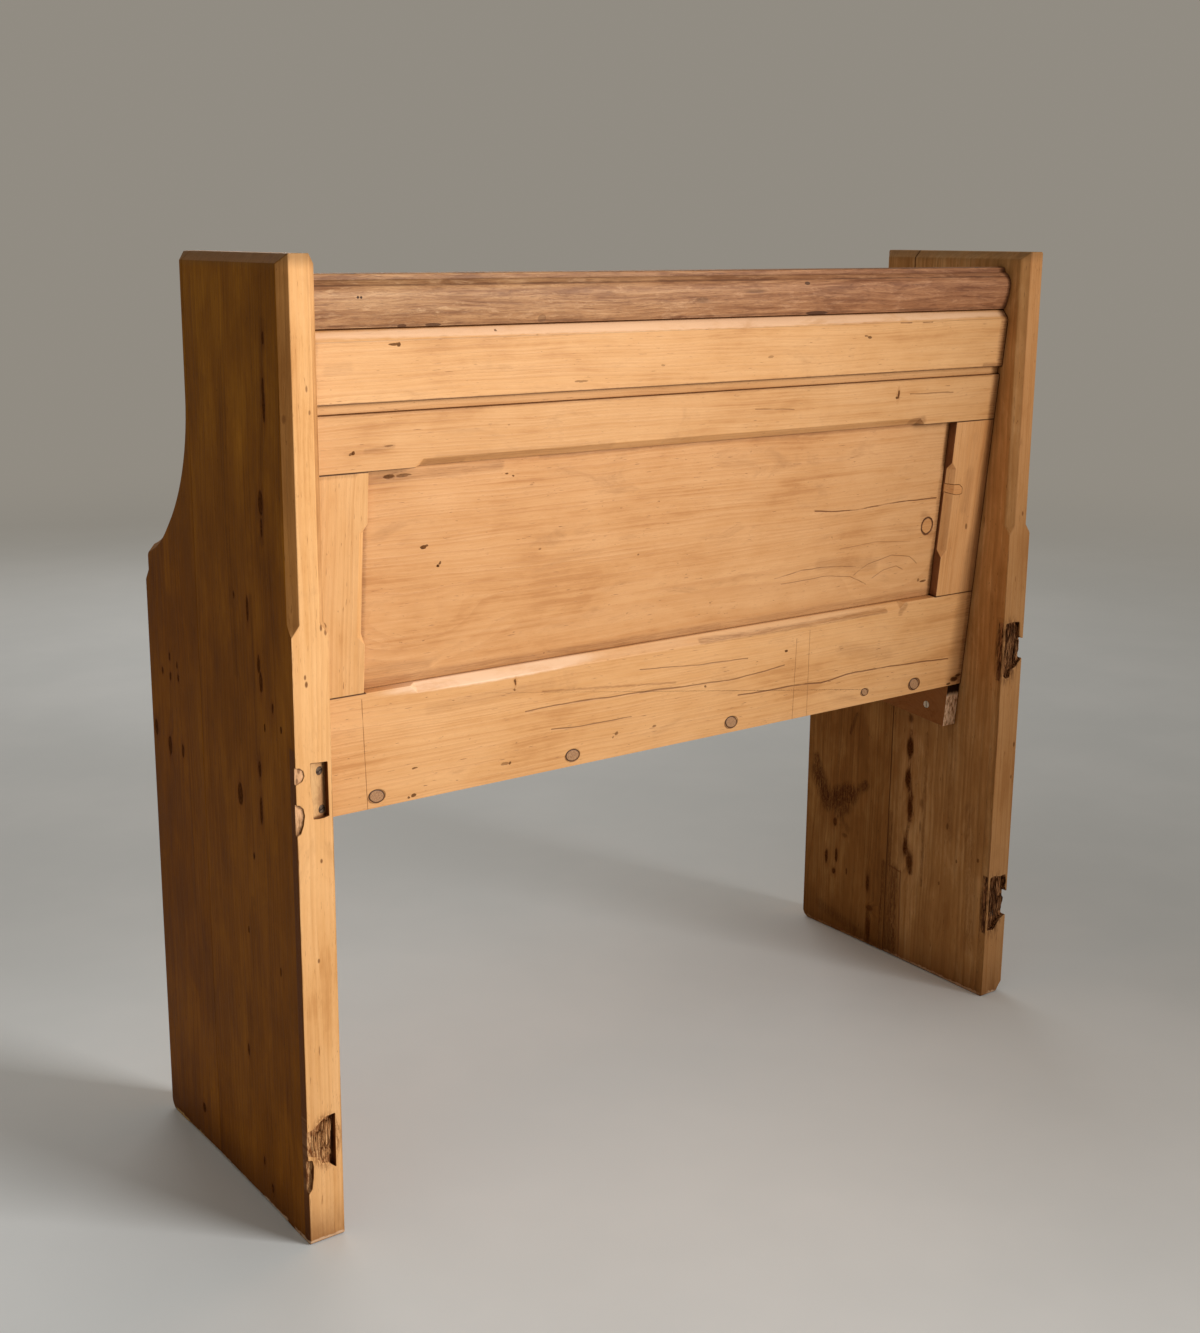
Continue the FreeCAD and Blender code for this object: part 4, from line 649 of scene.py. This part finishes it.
def slab_holes(g, a, b, t, p, fibre, smear):
    """Splintered relief in the recesses only."""
    inside = g.mul(g.step(b, MID_Y - 0.4, MID_Y - 1.4), g.step(b, MID_Y - 11.5, MID_Y - 10.8))
    inside = g.mul(inside, g.step(a, 512.0, 508.0))
    tear = g.noise(g.xyz(g.mul(a, 0.075), g.mul(t, 0.50), g.mul(b, 0.45)), 1.0, 5.0, 0.72, 0.4)
    return g.mul(g.mul(inside, tear), 2.6)


# side colours: painted shade for the left end's outer face, painted light and shade for the right end's inner face;
# UNSEEN is the plain wood of the faces looking -X
OUTER_PAINTED_SHADE = ((0.165, 0.048, 0.0024), (0.43, 0.158, 0.0135))
UNSEEN = ((0.250, 0.098, 0.030), (0.60, 0.315, 0.130))
INNER_R_PAINTED_LIGHT_AND_SHADE = ((0.345, 0.145, 0.039), (0.93, 0.580, 0.275))
LEFT_FEET_JOINT = path([(960.0, -21.6), (480.0, -21.6), (0.0, -21.6)], 0.55, 0.55)
RIGHT_JOINT = path([(960.0, 7.4), (480.0, 7.4), (150.0, 7.4), (0.0, 7.4)], 0.9, 0.85)
PATCH_RING = [(-387.2, 215.2, 9.6, 10.6, 0.13, 0.95)]
PLUG_RINGS = [(389.0, 12.5, 9.6, 7.2, 0.10, 0.6), (146.7, 12.5, 9.6, 7.2, 0.10, 0.6), (-80.1, 12.5, 9.6, 7.2, 0.10, 0.7),
              (-296.6, 15.5, 6.4, 4.6, 0.15, 0.75), (-384.5, 12.5, 9.6, 7.4, 0.13, 0.9)]
mats = {
    "left_end_rear_board": pine("pine_left_rear", "slab", 1.3, (250.0, 420.0), 4.2, 16.0, LEFT_KNOTS, side=OUTER_PAINTED_SHADE, side_other=UNSEEN, contrast=0.9, even=0.55, calm=recess_calm,
                                extra=slab_extra("left_rear"), holes=slab_holes, gloss=0.03, seams=LEFT_FEET_JOINT,
                                smears=[(900.0, 150.0, 700.0, 134.0, 5.0, 0.35), (640.0, 104.0, 420.0, 112.0, 4.0, 0.30),
                                        (700.0, 60.0, 560.0, 66.0, 6.0, 0.25), (330.0, 84.0, 120.0, 62.0, 5.0, 0.25)]),
    "left_end_front_board": pine("pine_left_front", "slab", 2.7, (-300.0, 400.0), 4.6, 16.0, LEFT_FRONT_KNOTS, side=OUTER_PAINTED_SHADE, side_other=UNSEEN, contrast=0.9, even=0.55,
                                 extra=slab_extra("left_front"), gloss=0.03, seams=LEFT_FEET_JOINT),
    "right_end_rear_board": pine("pine_right_rear", "slab", 4.1, (230.0, -330.0), 4.2, 16.0, RIGHT_REAR_KNOTS, side=INNER_R_PAINTED_LIGHT_AND_SHADE, side_other=UNSEEN,
                                 # rear: painted shade on this end's back-facing edge
                                 rear=(0.585, 0.535, 0.50), contrast=1.1, even=0.5, feather=True, extra=slab_extra("right_rear"), holes=slab_holes, dashes=1.25,
                                 gloss=0.03, seams=RIGHT_JOINT,
                                 lines=[(128.0, 33.0, 0.0, 37.0, 1.2, 0.85), (128.0, 19.0, 30.0, 16.0, 0.8, 0.7), (130.0, 12.0, 126.0, 34.0, 1.2, 0.8),
                                        (118.0, 25.0, 6.0, 26.0, 0.7, 0.6), (520.0, 96.0, 300.0, 88.0, 0.6, 0.3)],
                                 smears=[(330.0, 41.0, 262.0, 41.0, 3.0, 0.6), (262.0, 40.0, 240.0, 46.0, 4.5, 0.95), (240.0, 46.0, 205.0, 46.0, 4.5, 0.95), (205.0, 46.0, 175.0, 41.0, 3.0, 0.6), (175.0, 40.0, 132.0, 52.0, 4.5, 0.8), (126.0, 22.0, 0.0, 24.0, 9.0, 0.6),
                                         (330.0, 70.0, 120.0, 72.0, 3.0, 0.35), (205.0, 12.0, 0.0, 12.0, 4.0, 0.45), (250.0, 150.0, 60.0, 160.0, 9.0, 0.25),
                                         (420.0, 110.0, 200.0, 118.0, 6.0, 0.2)]),
    "right_end_front_board": pine("pine_right_front", "slab", 5.9, (-280.0, -340.0), 4.4, 14.0, RIGHT_FRONT_KNOTS, side=INNER_R_PAINTED_LIGHT_AND_SHADE, side_other=UNSEEN,
                                  contrast=1.1, even=0.5, feather=True, extra=slab_extra("right_front"), dashes=1.25, gloss=0.03, seams=RIGHT_JOINT,
                                  smears=[(248.0, -137.0, 226.0, -132.0, 7.0, 0.75), (228.0, -134.0, 196.0, -116.0, 13.0, 1.0), (212.0, -126.0, 184.0, -112.0, 11.0, 0.8),
                                          (188.0, -100.0, 198.0, -82.0, 11.0, 0.85), (200.0, -90.0, 212.0, -66.0, 15.0, 1.0), (210.0, -66.0, 232.0, -38.0, 7.0, 0.6),
                                          (176.0, -90.0, 190.0, -72.0, 9.0, 0.65), (176.0, -86.0, 158.0, -70.0, 4.0, 0.4),
                                          (30.0, -120.0, 4.0, -10.0, 8.0, 0.35), (330.0, -60.0, 300.0, -72.0, 3.0, 0.45),
                                          (130.0, 2.0, 0.0, 0.0, 4.0, 0.5), (50.0, -24.0, 4.0, -22.0, 5.0, 0.5)]),
    "top_rail": pine("pine_top_rail", "rail", 7.7, (640.0, 30.0), 3.6, 12.0, TOP_SPOTS, TOP_LINES, smears=TOP_SMEARS, tint=(0.95, 0.93, 0.92),
                     # the seam at 411.9 is a painted shadow line under the top rail's step; the others are joint lines
                     seams=[(-480.0, 480.0, 480.0, 480.0, 1.1, 0.95), (-480.0, 411.9, 480.0, 411.9, 0.7, 0.70), (-480.0, 401.6, 480.0, 401.6, 0.35, 0.30),
                            # worn: a pale band painted as highlight along the upward-facing top bevel
                            (-480.0, 469.3, 480.0, 469.3, 0.35, 0.34)], worn=[(0.0, 474.8, 560.0, 5.4, 0.62, (0.96, 0.64, 0.43))]),
    "middle_rail": pine("pine_middle_rail", "rail", 9.2, (150.0, 60.0), 3.2, 12.0, MID_SPOTS, MID_LINES, smears=MID_SMEARS, contrast=0.9, tint=(0.90, 0.87, 0.86),
                        seams=[(-480.0, 346.0, -340.0, 346.0, 0.8, 0.95), (480.0, 346.0, 346.0, 346.0, 0.8, 0.95),
                               (-480.0, 401.4, 480.0, 401.4, 0.35, 0.30)]),
    "bottom_rail": pine("pine_bottom_rail", "rail", 11.4, (-70.0, 34.0), 3.8, 14.0, LOW_SPOTS, LOW_LINES, smears=LOW_SMEARS, dashes=1.35, tint=(0.96, 0.93, 0.92), rings=PLUG_RINGS,
                        seams=[(-480.0, 124.4, -404.0, 124.4, 0.7, 0.9), (480.0, 124.4, 404.0, 124.4, 0.7, 0.9)],
                        # worn: pale bands painted as highlight along the upward-facing top bevel
                        worn=[(250.0, 121.5, 140.0, 8.0, 0.92, (0.90, 0.60, 0.40)), (0.0, 122.0, 330.0, 6.0, 0.40, (0.80, 0.50, 0.29))]),
    "back_panel": pine("pine_panel", "rail", 14.9, (150.0, 92.0), 3.6, 12.0, PANEL_SPOTS, PANEL_LINES, smears=PANEL_SMEARS, contrast=0.85, tint=(0.88, 0.825, 0.81), mottle=1.2, rings=PATCH_RING,
                       eyes=[(-335.0, 166.0, 30.0, 12.0), (345.0, 176.0, 36.0, 13.0)]),
    "left_stile": pine("pine_left_stile", "stile", 16.3, (560.0, 80.0), 4.0, 12.0, [(196.3, 450.5, 7.0, 2.0, 0.7), (200.0, 452.5, 4.0, 1.2, 0.6)],
                       tint=(0.93, 0.915, 0.88),
                       seams=[(124.8, 400.0, 124.8, 480.0, 0.6, 0.9), (345.7, 400.0, 345.7, 480.0, 0.6, 0.9)],
                       smears=[(345.0, 420.0, 345.0, 470.0, 3.0, 0.35), (160.0, 470.0, 340.0, 470.0, 3.0, 0.30)]),
    "right_stile": pine("pine_right_stile", "stile", 18.8, (-580.0, 70.0), 4.0, 12.0, [(211.9, -445.8, 4.0, 2.1, 0.6)],
                        seams=[(124.8, -400.0, 124.8, -480.0, 0.6, 0.9), (345.7, -400.0, 345.7, -480.0, 0.6, 0.9)],
                        smears=[(124.0, -468.0, 346.0, -468.0, 5.0, 0.55), (236.0, -438.0, 280.0, -440.0, 8.0, 0.25)],
                        lines=path([(-400.0, 268.6), (-424.0, 267.6), (-430.6, 262.8), (-431.0, 254.2), (-420.0, 253.4), (-400.0, 258.0)], 0.8, 0.95),
                        # side: the stile's faces that look along X get dark colours as painted shade
                        tint=(0.88, 0.80, 0.74), side=((0.135, 0.045, 0.014), (0.34, 0.15, 0.062)), painted_side_from=0.82),
    "seat_rear_board": pine("pine_seat_rear", "rail", 21.1, (-60.0, 90.0), 4.2, 16.0, [(-130.0, 10.0, 7.0, 5.0), (260.0, 14.0, 6.0, 4.0)]),
    "seat_front_board": pine("pine_seat_front", "rail", 23.6, (80.0, 230.0), 4.2, 16.0, []),
    "left_seat_bearer": pine("pine_left_bearer", "rail", 25.0, (-90.0, 60.0), 4.0, 10.0, [], tint=(0.56, 0.44, 0.34), gloss=0.03),
    "right_seat_bearer": pine("pine_right_bearer", "rail", 26.4, (-90.0, 60.0), 4.0, 10.0, [], tint=(0.40, 0.29, 0.21), gloss=0.03, extra=bearer_end,
                              dashes=1.4),
    "panel_patch": pine("pine_panel_patch", "rail", 31.0, (150.0, 60.0), 2.4, 6.0, [], tint=(0.80, 0.70, 0.62), rings=PATCH_RING),
    "stile_patch": pine("pine_stile_patch", "rail", 33.0, (150.0, 60.0), 2.6, 6.0, [], tint=(0.84, 0.70, 0.58)),
    "left_end_dowels": pine("pine_left_dowels", "slab", 35.0, (150.0, 470.0), 2.2, 4.0, []),
    "right_end_dowels": pine("pine_right_dowels", "slab", 36.0, (150.0, -470.0), 2.2, 4.0, []),
    "capping_rail": hardwood("hardwood_cap"),
    "seat_screw_plugs": end_grain("plug_end_grain", (0.47, 0.245, 0.110), (0.27, 0.118, 0.048),
                                  [(389.0, 12.5, 9.2, 6.8, 18.0), (146.7, 12.5, 9.2, 6.8, 8.0), (-80.1, 12.5, 9.2, 6.8, 24.0),
                                   (-296.6, 15.5, 6.0, 4.2, 30.0), (-384.5, 12.5, 9.2, 6.8, 35.0)], (0.055, 0.018, 0.006)),
}
old_steel = metal("old_screw_steel", (0.25, 0.175, 0.115), (0.085, 0.050, 0.028), (0.050, 0.020, 0.009), 0.75)
pale_steel = metal("pale_screw_steel", (0.86, 0.74, 0.58), (0.52, 0.43, 0.32), (0.24, 0.13, 0.07), 0.15)
dark_iron = metal("dark_nail_iron", (0.16, 0.14, 0.13), (0.06, 0.05, 0.045), (0.09, 0.035, 0.015), 0.6)
for n in ("left_recess_screws", "right_recess_screws", "seat_screws"):
    mats[n] = old_steel
for n in ("left_bearer_screws", "right_bearer_screws"):
    mats[n] = pale_steel
for n in ("capping_rail_nails", "seat_nails"):
    mats[n] = dark_iron

for name, obj in nodes.items():
    obj.data.materials.clear()
    obj.data.materials.append(mats[name])

# ------------------------------------------------------------------ torn splinters left standing in the recesses
def splinters(name, x0, x_range, z_range, floor_at, count, seed, long_range, material, lean=0.0):
    """Thin pointed shards along the grain, rooted in the recess floor and all below the board's rear face."""
    rnd = random.Random(seed)
    verts, faces = [], []
    for _ in range(count):
        length = rnd.uniform(*long_range)
        cx = rnd.uniform(*x_range)
        z0 = rnd.uniform(z_range[0], max(z_range[0], z_range[1] - length))
        z1 = min(z0 + length, z_range[1])
        half = rnd.uniform(0.35, 0.95)
        tilt = rnd.uniform(-0.05, 0.05) + lean
        lift = rnd.uniform(0.5, 2.2)
        free = rnd.random() < 0.35
        stations = 7
        base = len(verts)
        for i in range(stations):
            k = i / (stations - 1)
            z = z0 + (z1 - z0) * k
            x = cx + tilt * (z - (z0 + z1) / 2.0) + rnd.uniform(-0.12, 0.12)
            x = min(max(x, x_range[0]), x_range[1])
            taper = min(1.0, 4.0 * k + 0.10, 4.0 * (1.0 - k) + 0.06)
            w = half * taper * rnd.uniform(0.85, 1.15)
            depth = floor_at(x)
            root = depth + 0.5
            up = lift * taper + (1.6 * k * k if free else 0.0)
            crest = max(depth - up, 0.25)
            y_root, y_crest = MID_Y - root, MID_Y - crest
            for dx, y in ((-w, y_root), (-w * 0.7, y_crest - 0.25 * lift), (rnd.uniform(-0.3, 0.3) * w, y_crest), (w * 0.8, y_crest - 0.35 * lift), (w, y_root)):
                verts.append(((x0 + x + dx) / 1000.0, y / 1000.0, z / 1000.0))
        for i in range(stations - 1):
            for j in range(5):
                a0, a1 = base + i * 5 + j, base + i * 5 + (j + 1) % 5
                faces.append((a0, a1, a1 + 5, a0 + 5))
        faces.append(tuple(base + j for j in reversed(range(5))))
        faces.append(tuple(base + (stations - 1) * 5 + j for j in range(5)))
    me = bpy.data.meshes.new(name)
    me.from_pydata(verts, [], faces)
    me.update()
    ob = bpy.data.objects.new(name, me)
    scene.collection.objects.link(ob)
    me.materials.append(material)
    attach(ob, "root")
    return ob


def floor_of(points):
    def depth(x):
        for (xa, da), (xb, db) in zip(points, points[1:]):
            if x <= xb:
                return da + (db - da) * max(0.0, (x - xa) / (xb - xa))
        return points[-1][1]
    return depth


def splinter_wood(name, pale, middle, dark):
    """Torn wood: each shard its own tone, fine streaks along it, and painted shade darkening it at the root."""
    g = Graph(name)
    x, y, z = g.split(g.v("SCALE", g.add("ShaderNodeTexCoord").outputs["Object"], scale=1000.0))
    tone = g.noise(g.xyz(g.mul(x, 0.55), g.mul(y, 0.2), g.mul(z, 0.035)), 1.0, 2.0, 0.6)
    streak = g.noise(g.xyz(g.mul(x, 2.6), g.mul(y, 2.6), g.mul(z, 0.10)), 1.0, 4.0, 0.7)
    col = g.ramp(g.mad(g.m("SUBTRACT", tone, 0.5), 1.6, g.mad(g.m("SUBTRACT", streak, 0.5), 0.9, 0.5)),
                 [(0.20, dark), (0.45, middle), (0.75, pale)])
    # painted shade: AO darkens each shard where it meets the recess floor
    root = g.step(g.ao(0.0022, 6), 0.75, 0.30)
    col = g.mix(g.mul(root, 0.75), col, dark)
    bump = g.add("ShaderNodeBump")
    bump.inputs["Strength"].default_value = 0.6
    bump.inputs["Distance"].default_value = 0.0004
    g.put(bump.inputs["Height"], streak)
    sh = g.add("ShaderNodeBsdfPrincipled")
    g.put(sh.inputs["Base Color"], col)
    g.put(sh.inputs["Roughness"], g.mad(streak, 0.2, 0.55))
    g.put(sh.inputs["Normal"], bump.outputs[0])
    sh.inputs["Specular IOR Level"].default_value = 0.1
    out = g.add("ShaderNodeOutputMaterial")
    g.put(out.inputs[0], sh.outputs[0])
    return g.mat


gold = splinter_wood("splinters_golden", (0.80, 0.47, 0.22), (0.58, 0.29, 0.115), (0.150, 0.052, 0.016))
burnt = splinter_wood("splinters_dark", (0.42, 0.200, 0.085), (0.15, 0.055, 0.020), (0.020, 0.006, 0.002))
left_low = floor_of([(0.0, 6.7), (10.0, 6.7), (14.0, 4.2), (20.0, 3.0), (27.0, 1.6), (39.0, 1.0)])
right_up = floor_of([(-1.0, 7.0), (12.0, 5.6), (22.0, 4.8), (26.0, 6.8), (28.5, 9.5), (38.0, 9.5)])
right_low = floor_of([(-1.0, 8.0), (10.0, 6.6), (13.0, 8.0), (24.0, 8.0), (27.0, 9.5), (38.0, 9.5)])
splinters("torn_fibres_left_lower", 472.0, (15.0, 33.0), (98.0, 121.0), left_low, 46, 11, (7.0, 22.0), gold)
splinters("torn_fibres_left_lower_top", 472.0, (10.5, 22.0), (100.0, 131.0), left_low, 34, 12, (10.0, 30.0), gold)
splinters("torn_fibres_left_lower_foot", 472.0, (11.5, 24.0), (85.5, 104.0), left_low, 26, 13, (6.0, 18.0), gold)
splinters("torn_fibres_left_lower_wall", 472.0, (8.6, 12.0), (82.0, 133.0), left_low, 12, 14, (14.0, 40.0), burnt)
splinters("torn_fibres_right_upper", -510.0, (9.0, 31.5), (446.0, 501.0), right_up, 70, 21, (10.0, 34.0), burnt, 0.02)
splinters("torn_fibres_right_upper_edge", -510.0, (1.0, 9.0), (459.0, 479.0), right_up, 20, 22, (8.0, 18.0), burnt)
splinters("torn_fibres_right_lower", -510.0, (12.0, 31.5), (99.0, 161.0), right_low, 60, 23, (10.0, 36.0), burnt, -0.02)
splinters("torn_fibres_right_lower_edge", -510.0, (1.0, 12.0), (110.0, 137.0), right_low, 22, 24, (8.0, 22.0), burnt)

# ------------------------------------------------------------------ worn arrises on the boards
ROUND = {"left_end_rear_board": 0.7, "left_end_front_board": 1.3, "right_end_rear_board": 1.3, "right_end_front_board": 1.3,
         "top_rail": 0.8, "middle_rail": 0.8, "bottom_rail": 0.9, "left_stile": 0.7, "right_stile": 0.7, "back_panel": 0.3,
         "seat_rear_board": 0.8, "seat_front_board": 0.8, "left_seat_bearer": 0.8, "right_seat_bearer": 0.8, "capping_rail": 0.5,
         "panel_patch": 0.3, "stile_patch": 0.3, "seat_screw_plugs": 0.35}
for name, obj in nodes.items():
    me = obj.data
    if "custom_normal" in me.attributes:
        me.attributes.remove(me.attributes["custom_normal"])
    for poly in me.polygons:
        poly.use_smooth = True
    weld = obj.modifiers.new("weld", "WELD")
    weld.merge_threshold = 0.00001
    if name in ROUND:
        flat = obj.modifiers.new("flat_faces", "DECIMATE")
        flat.decimate_type = "DISSOLVE"
        flat.angle_limit = math.radians(0.4)
        bev = obj.modifiers.new("worn_arris", "BEVEL")
        bev.width = ROUND[name] * 0.001
        bev.segments = 3
        bev.limit_method = "ANGLE"
        bev.angle_limit = math.radians(32.0)
        bev.use_clamp_overlap = False
        bev.miter_outer = "MITER_ARC"
        bev.harden_normals = False
        tri = obj.modifiers.new("even_triangles", "TRIANGULATE")
        tri.quad_method = "BEAUTY"
        tri.ngon_method = "BEAUTY"
    wn = obj.modifiers.new("even_shading", "WEIGHTED_NORMAL")
    wn.mode = "FACE_AREA"
    wn.weight = 100
    wn.keep_sharp = True

# ------------------------------------------------------------------ floor
WORLD = (0.285, 0.262, 0.225)
mesh = bpy.data.meshes.new("floor")
rings, around = 24, 96
verts, faces = [(0.0, 0.0, 0.0)], []
for i in range(1, rings + 1):
    r = 7.0 * (i / rings) ** 1.6
    for j in range(around):
        ang = 2 * math.pi * j / around
        verts.append((r * math.cos(ang), r * math.sin(ang), 0.0))
for j in range(around):
    faces.append((0, 1 + j, 1 + (j + 1) % around))
for i in range(1, rings):
    o0, o1 = 1 + (i - 1) * around, 1 + i * around
    for j in range(around):
        k = (j + 1) % around
        faces.append((o0 + j, o1 + j, o1 + k, o0 + k))
mesh.from_pydata(verts, [], faces)
mesh.update()
floor = bpy.data.objects.new("floor", mesh)
scene.collection.objects.link(floor)
g = Graph("pale_floor")
fp = g.add("ShaderNodeTexCoord").outputs["Object"]
n1 = g.noise(fp, 1.7, 4.0, 0.6)
n2 = g.noise(fp, 60.0, 3.0, 0.6)
fc = g.mix(g.step(n1, 0.35, 0.7, 0.0, 1.0), (0.735, 0.765, 0.79), (0.79, 0.815, 0.84))
sh = g.add("ShaderNodeBsdfPrincipled")
g.put(sh.inputs["Base Color"], fc)
g.put(sh.inputs["Roughness"], g.mad(n1, 0.15, 0.60))
sh.inputs["Specular IOR Level"].default_value = 0.2
bump = g.add("ShaderNodeBump")
bump.inputs["Strength"].default_value = 0.12
bump.inputs["Distance"].default_value = 0.001
g.put(bump.inputs["Height"], n2)
g.put(sh.inputs["Normal"], bump.outputs[0])
# the floor runs out into the studio's own tone, with no horizon
haze = g.add("ShaderNodeEmission")
haze.inputs[0].default_value = (*WORLD, 1.0)
haze.inputs[1].default_value = 1.0
fade = g.add("ShaderNodeMixShader")
g.put(fade.inputs[0], g.step(g.v("LENGTH", fp), 1.6, 5.6))
g.put(fade.inputs[1], sh.outputs[0])
g.put(fade.inputs[2], haze.outputs[0])
out = g.add("ShaderNodeOutputMaterial")
g.put(out.inputs[0], fade.outputs[0])
mesh.materials.append(g.mat)

# ------------------------------------------------------------------ light
world = bpy.data.worlds.new("studio")
scene.world = world
world.use_nodes = True
bg = world.node_tree.nodes["Background"]
bg.inputs[0].default_value = (*WORLD, 1.0)
bg.inputs[1].default_value = 1.0


def lamp(name, where, target, size, watts, colour, spread=180.0):
    data = bpy.data.lights.new(name, "AREA")
    data.shape = "RECTANGLE"
    data.size, data.size_y = size
    data.energy = watts
    data.spread = math.radians(spread)
    data.color = colour
    ob = bpy.data.objects.new(name, data)
    scene.collection.objects.link(ob)
    ob.location = where
    ob.rotation_mode = "QUATERNION"
    ob.rotation_quaternion = (Vector(target) - Vector(where)).to_track_quat("-Z", "Y")
    return ob


# a soft window light from behind on the right end's side, strongest on the left end and fading towards the right
lamp("window", (-0.95, 2.30, 1.30), (1.25, 0.20, 0.95), (1.1, 1.3), 24.6, (1.0, 0.985, 0.945), 84.0)
lamp("front_fill", (-1.2, -2.9, 2.0), (0.0, -0.1, 0.5), (2.4, 1.8), 22.0, (1.0, 0.98, 0.95))

# ------------------------------------------------------------------ camera
cam_data = bpy.data.cameras.new("camera")
camera = bpy.data.objects.new("camera", cam_data)
scene.collection.objects.link(camera)
cam_data.sensor_width = 36.0
cam_data.lens = 46.2808
cam_data.shift_x = 0.012950
cam_data.shift_y = -0.032540
cam_data.clip_start, cam_data.clip_end = 0.05, 60.0
R = Matrix(((-0.8089746062874652, -0.125553988561207, 0.5742789238152599),
            (0.5878135789383211, -0.18264666246540945, 0.788108744467392),
            (0.005939932471238222, 0.9751289107839122, 0.22155885122381827)))
camera.rotation_mode = "QUATERNION"
camera.rotation_quaternion = R.to_quaternion()
camera.location = (1.1886837633032044, 1.569232739452301, 0.9779907541551569)
scene.camera = camera
scene.view_settings.view_transform = "Standard"
scene.view_settings.look = "None"
